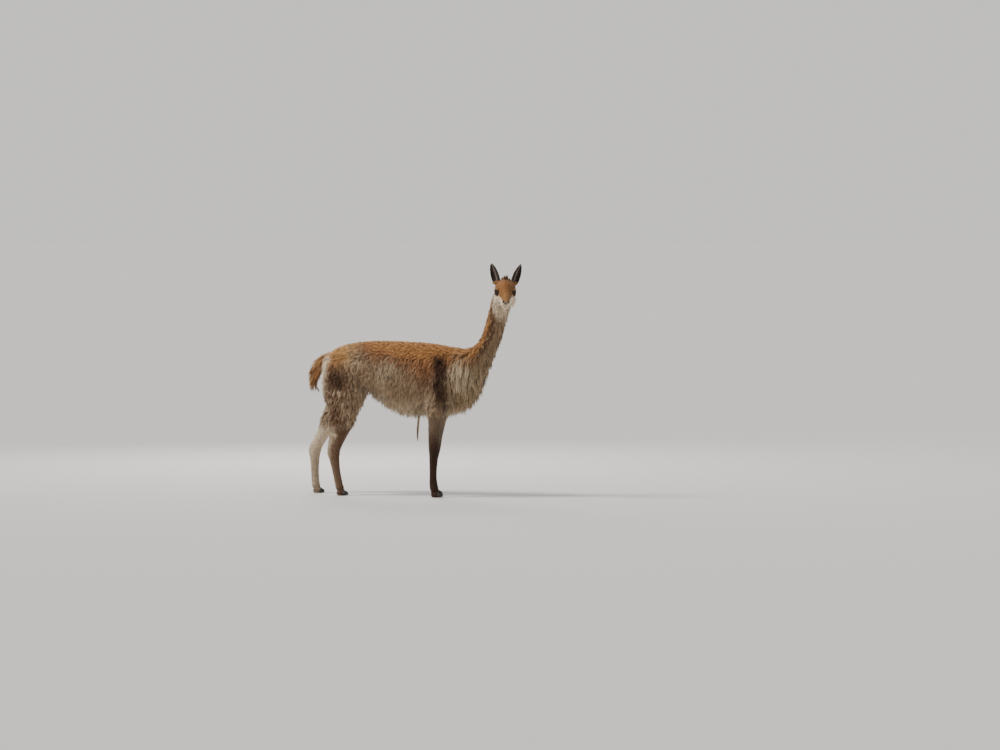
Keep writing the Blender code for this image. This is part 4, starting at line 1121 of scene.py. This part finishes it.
def grow_guides(surface, places, normals, rng):
    """The middle lines of the locks: for each guide its places from root to tip, less the root."""
    weights = zone_weights(places, normals)
    lies = lie_of_coat(places, normals, weights)
    lengths = of_zone(weights, 2) * rng.uniform(0.82, 1.18, len(places))
    lifts = np.radians(of_zone(weights, 3) * rng.uniform(0.6, 1.4, len(places)))
    hangs = of_zone(weights, 4)
    widths = of_zone(weights, 6)
    turns = rng.normal(0, 0.16, len(places))
    across = np.cross(normals, lies)
    lies = lies * np.cos(turns)[:, None] + across * np.sin(turns)[:, None]
    starts = lies * np.cos(lifts)[:, None] + normals * np.sin(lifts)[:, None]
    lines = np.zeros((len(places), GUIDE_STEPS + 1, 3))
    for i in range(len(places)):
        root = Vector(places[i])
        place, start = root, Vector(starts[i])
        stride, hang = lengths[i] / GUIDE_STEPS, hangs[i]
        stand = lengths[i] * math.sin(lifts[i])
        for step in range(1, GUIDE_STEPS + 1):
            t = step / GUIDE_STEPS
            fall = max(-0.9, min(0.9, hang * t * 1.3))
            way = start * (1 - abs(fall)) - Z * fall
            place = place + way.normalized() * stride
            near, out, _, _ = surface.find_nearest(place)
            clear = min(MOST_STAND, stand * (0.25 + 0.85 * t - 0.35 * t * t))
            clear += widths[i] * 0.15
            if (place - near).dot(out) < clear:
                place = near + out * clear
            lines[i, step] = place - root
    return lines


def comb(places, normals, guide_places, guide_normals, lines, rng):
    """Middle lines of all tufts, gathered to the nearest guide that grows on the same face."""
    tree = KDTree(len(guide_places))
    for i, place in enumerate(guide_places):
        tree.insert(place, i)
    tree.balance()
    nearest = np.zeros(len(places), int)
    for i, (place, normal) in enumerate(zip(places, normals)):
        found = tree.find_n(place, NEAR_GUIDES)
        choice = found[0][1]
        for _, j, _ in found:
            if guide_normals[j] @ normal > SAME_FACE:
                choice = j
                break
        nearest[i] = choice
    weights = zone_weights(places, normals)
    gather, curl = of_zone(weights, 5), of_zone(weights, 7)
    lengths = rng.uniform(0.72, 1.12, len(places))
    t = np.linspace(0, 1, GUIDE_STEPS + 1)[None, :, None]
    line = lines[nearest]
    offset = places - guide_places[nearest]
    pull = gather[:, None, None] * t ** 0.9 * rng.uniform(0.7, 1.1, len(places))[:, None, None]
    paths = places[:, None, :] + line * lengths[:, None, None] - offset[:, None, :] * pull
    phase = (nearest * GOLDEN_ANGLE)[:, None, None]
    along = unit(line[:, -1])
    side = np.cross(normals, along)
    swing = curl[:, None, None] * np.minimum(1, 1.6 * t)
    spin = math.tau * CURL_TURNS * t + phase
    paths += swing * (side[:, None, :] * (np.sin(spin) - np.sin(phase)))
    paths += swing * (normals[:, None, :] * (np.cos(spin) * 0.5 + 0.5))
    length = np.linalg.norm(line[:, -1], axis=1)[:, None, None]
    stray = rng.normal(0, 0.05, (len(places), 1, 3)) * length
    paths += stray * t ** 2
    return paths, nearest, weights


def chart(places, name):
    """A cylinder round one part of the body, opened flat: two values for each place."""
    x, y, z = places.T
    if name in ("face", "cheek", "ear"):
        head = in_head(places)
        if name == "ear":
            around = np.arctan2(np.abs(head[:, 1]) - 0.06, head[:, 0] + 0.05)
            return head[:, 2] + 0.3 * (head[:, 1] > 0), around
        return head[:, 0], np.arctan2(head[:, 1], -head[:, 2] - 0.006)
    if name in ("back", "flank", "under", "chest"):
        return x, np.arctan2(y, -(z - 0.68) if name in ("under", "chest") else z - 0.68)
    if name == "neck":
        centre, _ = neck_centre(z)
        return z, np.arctan2(y, centre - x)
    if name == "tail":
        return z, np.arctan2(y, x + 0.50)
    if name == "thigh":
        return z + 0.5 * (y > 0), np.arctan2(np.abs(y) - 0.095, x + 0.33)
    stations = LEGS[name]
    centre_x, centre_y = along_curve(stations, z, (1, 2))
    return z, np.arctan2(y - centre_y, x - centre_x)


def bake_patches(places, name):
    """The corner of each tuft's own patch on the flattened skin."""
    rows = np.stack(chart(places, name), axis=1)
    low, high = rows.min(axis=0), rows.max(axis=0)
    return 0.004 + (rows - low) / np.maximum(high - low, 1e-6) * (0.992 - PATCH)


def long_lock(surface, rng):
    """The one long thin lock that hangs from under the chest."""
    x, y = LONG_LOCK_PLACE
    root, normal, _, _ = surface.ray_cast(Vector((x, y, 0)), Z)
    count = LONG_LOCK_TUFTS
    t = np.linspace(0, 1, 2 * GUIDE_STEPS + 1)
    line = np.zeros((len(t), 3))
    line[:, 0] = -0.012 * np.sin(2.6 * t) - 0.010 * t
    line[:, 1] = 0.006 * np.sin(5.0 * t)
    line[:, 2] = -LONG_LOCK_LENGTH * t
    turn = rng.uniform(0, math.tau, count)
    spread = rng.uniform(0.2, 1, count) * 0.013
    width = np.interp(t, (0, 0.25, 0.7, 1), (1, 0.5, 0.55, 0.15))
    start = rng.uniform(0, 0.30, count) * (rng.random(count) < 0.6)
    reach = rng.uniform(0.45, 1.0, count)
    along = start[:, None] + (1 - start[:, None]) * reach[:, None] * t[None, :]
    paths = np.stack([np.interp(along, t, line[:, k]) for k in range(3)], axis=2)
    swirl = turn[:, None] + 0.9 * along
    wide = spread[:, None] * np.interp(along, t, width)
    paths[:, :, 0] += np.cos(swirl) * wide
    paths[:, :, 1] += np.sin(swirl) * wide
    paths += np.array(root)
    normals = np.stack([np.cos(turn), np.sin(turn), np.zeros(count)], axis=1)
    shade = rng.normal(1, 0.12, count)[:, None]
    brown, cream = np.array(BROWN) * 1.6, np.array(CREAM) * 0.8
    colours = np.where(rng.random((count, 1)) < 0.35, brown, cream) * shade
    corners = 0.01 + 0.95 * np.stack([turn / math.tau, start * 3], axis=1)
    widths = rng.uniform(0.003, 0.0045, count)
    return tuft_mesh("coat_long_lock", paths, normals, widths, colours, corners, 6, rng)


def piece_names(places, weights):
    """Which coat piece each tuft goes to."""
    groups = {
        "ear": "ear", "muzzle": "face", "head": "face", "crown": "cheek", "cheek": "cheek",
        "neck": "neck", "throat": "neck", "tail": "tail", "back": "back", "flank": "flank",
        "belly": "under", "chest": "chest", "thigh": "thigh", "leg": "leg", "foot": "leg",
    }
    zones = list(groups)
    best = np.argmax(np.stack([weights[zone] for zone in zones]), axis=0)
    names = np.array([groups[zone] for zone in zones], dtype=object)[best]
    leg = names == "leg"
    ends = np.where(places[:, 0] < -0.08, "hind_", "front_")
    sides = np.where(places[:, 1] < 0, "right", "left")
    for i in np.flatnonzero(leg):
        names[i] = ends[i] + sides[i]
    return names


def tuft_mesh(name, paths, normals, widths, colours, corners, rings, rng):
    """One closed, three-sided, tapered tuft on each path, as one object."""
    count, steps = len(paths), paths.shape[1] - 1
    at = np.linspace(0, 1, rings + 1) ** 1.05 * steps
    low = np.minimum(at.astype(int), steps - 1)
    share = (at - low)[None, :, None]
    line = paths[:, low] * (1 - share) + paths[:, low + 1] * share
    along = unit(np.gradient(line, axis=1))
    side = unit(np.cross(along, normals[:, None, :]))
    twist = rng.normal(0, 0.45, count)[:, None, None]
    out = np.cross(side, along)
    turned = side * np.cos(twist) + out * np.sin(twist)
    side, out = turned, out * np.cos(twist) - side * np.sin(twist)
    taper = np.interp(
        np.linspace(0, 1, rings + 1)[:-1], (0, 0.35, 0.75, 1), (0.80, 1.0, 0.62, 0.30)
    )
    half = widths[:, None, None] / 2 * taper[None, :, None]
    middle = line[:, :-1]
    points = np.stack([
        middle - side[:, :-1] * half,
        middle + side[:, :-1] * half,
        middle + out[:, :-1] * half * 0.55,
    ], axis=2)
    verts = np.concatenate([points.reshape(count, rings * 3, 3), line[:, -1:]], axis=1)
    verts[:, :3] -= normals[:, None, :] * 0.0015
    verts[:, :, 2] = np.maximum(verts[:, :, 2], FLOOR_CLEAR)
    each = rings * 3 + 1
    quads = []
    for k in range(rings - 1):
        for i in range(3):
            j = (i + 1) % 3
            quads.append((k * 3 + i, k * 3 + 3 + i, k * 3 + 3 + j, k * 3 + j))
    last = (rings - 1) * 3
    ends = [(last + i, each - 1, last + (i + 1) % 3) for i in range(3)] + [(0, 1, 2)]
    pattern = np.array([i for face in quads + ends for i in face])
    sizes = np.array([4] * len(quads) + [3] * len(ends))
    loops = (pattern[None, :] + each * np.arange(count)[:, None]).ravel()
    starts = np.concatenate([[0], np.cumsum(np.tile(sizes, count))[:-1]])
    mesh = bpy.data.meshes.new(name)
    mesh.vertices.add(count * each)
    mesh.vertices.foreach_set("co", verts.ravel().astype(np.float32))
    mesh.loops.add(len(loops))
    mesh.loops.foreach_set("vertex_index", loops.astype(np.int32))
    mesh.polygons.add(len(starts))
    mesh.polygons.foreach_set("loop_start", starts.astype(np.int32))
    mesh.update(calc_edges=True)
    shade_smooth(mesh)

    # Darker and warmer at the root, paler at the tip: painted shade deep in the coat and painted
    # light on the tips
    depth = np.concatenate([np.repeat(np.linspace(0.58, 1.0, rings), 3), [1.12]])
    shade = np.clip(colours[:, None, :] * depth[None, :, None], 0, 1)
    set_colours(mesh, shade.reshape(-1, 3))

    def add_uv(layer, uv):
        values = uv.reshape(-1, 2)[loops].ravel().astype(np.float32)
        mesh.uv_layers.new(name=layer).data.foreach_set("uv", values)

    # Each tuft has its own small patch, in which every face has some width
    spot = [(i / 2, (k + 0.25 * (i == 1)) / (rings + 0.4)) for k in range(rings) for i in range(3)]
    spot = np.array(spot + [(0.5, 1.0)]) * PATCH
    add_uv("OFBake", corners[:, None, :] + spot[None, :, :])
    strand = np.array([(i / 2, k / rings) for k in range(rings) for i in range(3)] + [(0.5, 1.0)])
    add_uv("Strand", strand[None, :, :] + rng.uniform(0, 50, (count, 1, 2)))
    mesh.uv_layers.active = mesh.uv_layers["OFBake"]
    mesh.uv_layers["OFBake"].active_render = True
    own = read_vectors(mesh.vertices, "normal").reshape(count, each, 3)
    soft = own * (1 - SOFTNESS) + normals[:, None, :] * SOFTNESS
    mesh.normals_split_custom_set_from_vertices(unit(soft).reshape(-1, 3).astype(np.float32))
    return new_object(name, mesh)


def grow_coat(skin, surface):
    """The whole coat, in pieces by part of the body."""
    rng = np.random.default_rng(SEED)
    mesh = skin.data
    mesh.calc_loop_triangles()
    places = read_vectors(mesh.vertices, "co")
    normals = read_vectors(mesh.vertices, "normal")
    index = np.empty(len(mesh.loop_triangles) * 3, np.int32)
    mesh.loop_triangles.foreach_get("vertices", index)
    index = index.reshape(-1, 3)
    corners, corner_normals = places[index], normals[index]
    middle, facing = corners.mean(axis=1), corner_normals.mean(axis=1)
    weights = zone_weights(middle, facing)
    grows = ~bare(middle, facing)
    few = 1.0
    roots, root_normals = scatter(corners, corner_normals, of_zone(weights, 0) * grows * few, rng)
    starts, start_normals = scatter(corners, corner_normals, of_zone(weights, 1) * grows, rng)
    lines = grow_guides(surface, starts, start_normals, rng)
    paths, nearest, weights = comb(roots, root_normals, starts, start_normals, lines, rng)
    widths = of_zone(weights, 6) * rng.uniform(0.75, 1.3, len(roots)) * 1
    colours = coat_colour(roots, root_normals, weights)
    lock_shade = np.random.default_rng(SEED + 1).normal(1, LOCK_SHADES, len(starts))[nearest]
    colours = colours * (lock_shade * rng.normal(1, TUFT_SHADES, len(roots)))[:, None]
    names = piece_names(roots, weights)
    pieces = []
    for name in sorted(set(names)):
        chosen = np.flatnonzero(names == name)
        rings = TUFT_RINGS
        if name in ("face", "ear") or name in LEGS:
            rings = SHORT_RINGS
        elif name in ("under", "chest", "tail"):
            rings = LONG_RINGS
        most = TRIANGLES_A_PIECE // (6 * (rings - 1) + 4)
        shares = np.array_split(chosen[np.argsort(roots[chosen, 0])], math.ceil(len(chosen) / most))
        for number, share in enumerate(shares, 1):
            piece = tuft_mesh(
                f"coat_{name}_{number}",
                paths[share],
                root_normals[share],
                widths[share],
                colours[share],
                bake_patches(roots[share], name),
                rings,
                rng,
            )
            pieces.append((piece, name))
    pieces.append((long_lock(surface, rng), "under"))
    return pieces


def node(tree, kind, place, **values):
    """A shader node, with its sockets set by name."""
    made = tree.nodes.new(kind)
    made.location = place
    for name, value in values.items():
        made.inputs[name.replace("_", " ")].default_value = value
    return made


def link(tree, source, output, target, socket):
    tree.links.new(source.outputs[output], target.inputs[socket])


def plain_material(name, colour, roughness, **sockets):
    material = bpy.data.materials.new(name)
    material.use_nodes = True
    shader = material.node_tree.nodes["Principled BSDF"]
    shader.inputs["Base Color"].default_value = (*colour, 1)
    shader.inputs["Roughness"].default_value = roughness
    for socket, value in sockets.items():
        shader.inputs[socket.replace("_", " ")].default_value = value
    return material


def fur_material(name, roughness, sheen, depth, scale, strands):
    """Reads the markings, with their painted shade and light, from the mesh, with fine hairs as
    bump.
    """
    material = plain_material(
        name, FLANK, roughness, Sheen_Weight=sheen, Sheen_Roughness=0.45, Specular_IOR_Level=0.12
    )
    tree = material.node_tree
    shader = tree.nodes["Principled BSDF"]
    markings = node(tree, "ShaderNodeVertexColor", (-900, 200))
    markings.layer_name = "Coat"
    if strands:
        place = node(tree, "ShaderNodeUVMap", (-1300, -100))
        place.uv_map = "Strand"
        stretch = node(tree, "ShaderNodeMapping", (-1100, -100), Scale=(11.0, 0.8, 1.0))
        link(tree, place, "UV", stretch, "Vector")
    else:
        place = node(tree, "ShaderNodeNewGeometry", (-1300, -100))
        stretch = node(tree, "ShaderNodeMapping", (-1100, -100), Scale=(1.0, 1.0, 0.45))
        link(tree, place, "Position", stretch, "Vector")
    hairs = node(tree, "ShaderNodeTexNoise", (-900, -100), Scale=scale, Detail=3.0, Roughness=0.6)
    link(tree, stretch, "Vector", hairs, "Vector")
    range_ = node(tree, "ShaderNodeMapRange", (-700, -50), To_Min=0.72, To_Max=1.28)
    link(tree, hairs, "Fac", range_, "Value")
    tint = node(tree, "ShaderNodeVectorMath", (-500, 150))
    tint.operation = "SCALE"
    link(tree, markings, "Color", tint, 0)
    link(tree, range_, "Result", tint, "Scale")
    link(tree, tint, "Vector", shader, "Base Color")
    bump = node(tree, "ShaderNodeBump", (-400, -250), Strength=0.55, Distance=depth)
    link(tree, hairs, "Fac", bump, "Height")
    link(tree, bump, "Normal", shader, "Normal")
    return material


def paint_skin(skin, material):
    """Puts the markings of the coat on the skin, darker under the fur as painted shade."""
    mesh = skin.data
    places = read_vectors(mesh.vertices, "co")
    normals = read_vectors(mesh.vertices, "normal")
    colours = coat_colour(places, normals, zone_weights(places, normals))
    # Painted shade: the skin is darker where the coat covers it
    colours[~bare(places, normals)] *= SKIN_SHADE
    set_colours(mesh, colours)
    use(skin, material)


def make_eye(side):
    """A dark eye with a brown iris and a level, wide pupil, under a clear wet front."""
    name = "eye_right" if side < 0 else "eye_left"
    eye = ball_object(name + "_fine", eye_centre(side), (EYE_RADIUS,) * 3, None, 64, 40)
    gaze, rise, ahead = gaze_axes(side)
    axes = np.array((ahead, rise, gaze))
    from_centre = in_head(read_vectors(eye.data.vertices, "co"))
    local = (from_centre - np.array(eye_centre(side))) @ axes.T / EYE_RADIUS
    away = np.hypot(local[:, 0], local[:, 1])
    front = local[:, 2] > 0
    iris = (1 - ease(0.74, 0.82, away)) * front
    pupil = (1 - ease(0.80, 1.0, np.hypot(local[:, 0] / 0.50, local[:, 1] / 0.25))) * front
    colour = np.tile((0.012, 0.008, 0.006), (len(away), 1))
    colour = mix(colour, (0.014, 0.0065, 0.0035), iris)
    colour = mix(colour, (0.001, 0.001, 0.0015), pupil)
    set_colours(eye.data, colour)
    shade_smooth(eye.data)
    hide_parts(name)
    return eye


def make_lashes(side):
    """Dark lashes that stand out and down from the upper lid."""
    bm = bmesh.new()
    _, rise, _ = gaze_axes(side)
    for i in range(LASHES):
        angle = math.pi * (0.10 + 0.80 * i / (LASHES - 1))
        way, around = lid_way(side, angle)
        root = eye_centre(side) + way * (EYE_RADIUS + 0.0020) + around * 0.0006
        length = 0.0105 * (0.65 + 0.35 * math.sin(angle)) * (1 - 0.12 * (i % 3))
        out = (way * 0.9 + around * 0.55 - rise * 0.45).normalized()
        rings = []
        for t, half in ((0, 0.00042), (0.4, 0.00036), (0.75, 0.00024), (1, 0.00008)):
            place = root + out * (length * t) + rise * (0.0026 * t * t)
            rings.append(ring(place, around, out.cross(around), half, half, half, 3))
        add_tube(bm, rings)
    lashes = mesh_object("lashes_right" if side < 0 else "lashes_left", bm, HEAD_MATRIX)
    return lashes


def make_nail(foot, number, side):
    """A blunt curved nail on the front of one toe, in the place of the construction's."""
    _, x, y, _, _ = LEGS[foot][-1]
    turn = Matrix.Rotation(side * TOE_SPLAY, 4, "Z")
    centre = Vector((x + TOE_FORWARD, y + side * TOE_SPREAD, NAIL_HEIGHT))
    bm = bmesh.new()
    tilt = Matrix.Rotation(NAIL_TILT, 4, "Y")
    add_ball(bm, (NAIL_FORWARD, 0, NAIL_RAISED), NAIL_HALF, tilt, 28, 18)
    for vertex in bm.verts:
        forward = max(0, (vertex.co.x - NAIL_FORWARD) / NAIL_HALF.x)
        vertex.co.y *= 1 - NAIL_NARROWS * forward
        vertex.co.z -= NAIL_DROPS * forward ** 2
    bm.transform(Matrix.Translation(centre) @ turn)
    for vertex in bm.verts:
        vertex.co.z = max(vertex.co.z, 0)
    nail = mesh_object(f"nail_{foot}_{number}_fine", bm)
    shade_smooth(nail.data)
    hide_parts(f"nail_{foot}_{number}")
    return nail


def use(obj, material):
    obj.data.materials.clear()
    obj.data.materials.append(material)


def settle(obj):
    """Moves a finished piece into the model's frame, where it stays with the body."""
    obj.data.transform(Matrix.Translation(ORIGIN_SHIFT))
    obj.data.update()
    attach(obj, "root")


SOLID_FLESH = (
    "head", "neck", "torso", "tail", "ear_right", "ear_left", "thigh_right", "thigh_left",
    "leg_hind_right", "leg_hind_left", "leg_front_right", "leg_front_left",
)

skin = make_skin()
surface = BVHTree.FromObject(skin, bpy.context.evaluated_depsgraph_get())
coat = grow_coat(skin, surface)
paint_skin(skin, fur_material("Skin and short fur", 0.80, 0.20, 0.0012, 420.0, False))
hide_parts(*SOLID_FLESH)
settle(skin)

wool = fur_material("Coat", 0.78, 0.25, 0.0006, 1.0, True)
slots = {"ear": "ear_grey", "thigh": "coat_leg", **dict.fromkeys(LEGS, "coat_leg")}
for piece, name in coat:
    use(piece, wool)
    settle(piece)

wet = plain_material("Eye", (0.01, 0.008, 0.006), 0.08, IOR=1.14)
iris_colour = node(wet.node_tree, "ShaderNodeVertexColor", (-300, 200))
iris_colour.layer_name = "Coat"
link(wet.node_tree, iris_colour, "Color", wet.node_tree.nodes["Principled BSDF"], "Base Color")
lash = plain_material("Lashes", (0.010, 0.008, 0.007), 0.6)
horn = plain_material("Nails", (0.022, 0.017, 0.014), 0.42)
for side in (-1, 1):
    for piece, material in ((make_eye(side), wet), (make_lashes(side), lash)):
        use(piece, material)
        settle(piece)
for foot in LEGS:
    for number, side in ((1, -1), (2, 1)):
        nail = make_nail(foot, number, side)
        use(nail, horn)
        settle(nail)

# Floor, daylight of a studio, and the camera of the photo
FLOOR_HALF = 1500
bm = bmesh.new()
bmesh.ops.create_grid(bm, x_segments=1, y_segments=1, size=FLOOR_HALF)
floor = mesh_object("floor", bm)
use(floor, plain_material("Floor", (0.62, 0.61, 0.59), 1.0, Specular_IOR_Level=0.0))

world = bpy.data.worlds.new("Pale room")
bpy.context.scene.world = world
world.use_nodes = True
daylight = world.node_tree.nodes["Background"]
daylight.inputs["Color"].default_value = (0.93, 0.95, 1.00, 1)
daylight.inputs["Strength"].default_value = 0.66
backdrop = node(world.node_tree, "ShaderNodeBackground", (0, -200), Strength=0.84)
backdrop.inputs["Color"].default_value = (1.0, 0.982, 0.956, 1)
seen = node(world.node_tree, "ShaderNodeLightPath", (0, 300))
either = node(world.node_tree, "ShaderNodeMixShader", (250, 0))
link(world.node_tree, seen, "Is Camera Ray", either, 0)
link(world.node_tree, daylight, "Background", either, 1)
link(world.node_tree, backdrop, "Background", either, 2)
link(world.node_tree, either, "Shader", world.node_tree.nodes["World Output"], "Surface")


def point(obj, way):
    obj.rotation_mode = "QUATERNION"
    obj.rotation_quaternion = way.to_track_quat("-Z", "Y")


def area_light(name, place, aim, size, power, colour):
    light = bpy.data.lights.new(name, "AREA")
    light.shape = "DISK"
    light.size = size
    light.energy = power
    light.color = colour
    obj = new_object(name, light)
    obj.location = place
    point(obj, Vector(aim) - Vector(place))


sun = bpy.data.lights.new("Key", "SUN")
sun.energy, sun.angle, sun.color = 3.2, math.radians(16), (1.0, 0.955, 0.89)
key = new_object("Key", sun)
point(key, Vector((0.66, 0.36, -0.92)))
area_light("Rim", (-1.8, 3.4, 3.0), (0, 0, 0.8), 2.0, 120, (1.0, 0.96, 0.90))

CAMERA_PLACE = Vector((6.18, -19.02, 1.437))
PIXELS = 3560
PICTURE = (1000, 750)
BODY_PIXEL, HORIZON_PIXEL = 402, 240
bearing = math.atan2(-CAMERA_PLACE.y, -CAMERA_PLACE.x)
bearing += math.atan((BODY_PIXEL - PICTURE[0] / 2) / PIXELS)
dip = -math.atan((PICTURE[1] / 2 - HORIZON_PIXEL) / PIXELS)
level = math.cos(dip)
ahead = Vector((math.cos(bearing) * level, math.sin(bearing) * level, math.sin(dip)))
camera = new_object("camera", bpy.data.cameras.new("camera"))
camera.data.sensor_width = 36
camera.data.lens = 36 * PIXELS / PICTURE[0]
camera.data.clip_start, camera.data.clip_end = 0.1, 2 * FLOOR_HALF
camera.location = CAMERA_PLACE + ORIGIN_SHIFT
point(camera, ahead)
bpy.context.scene.camera = camera
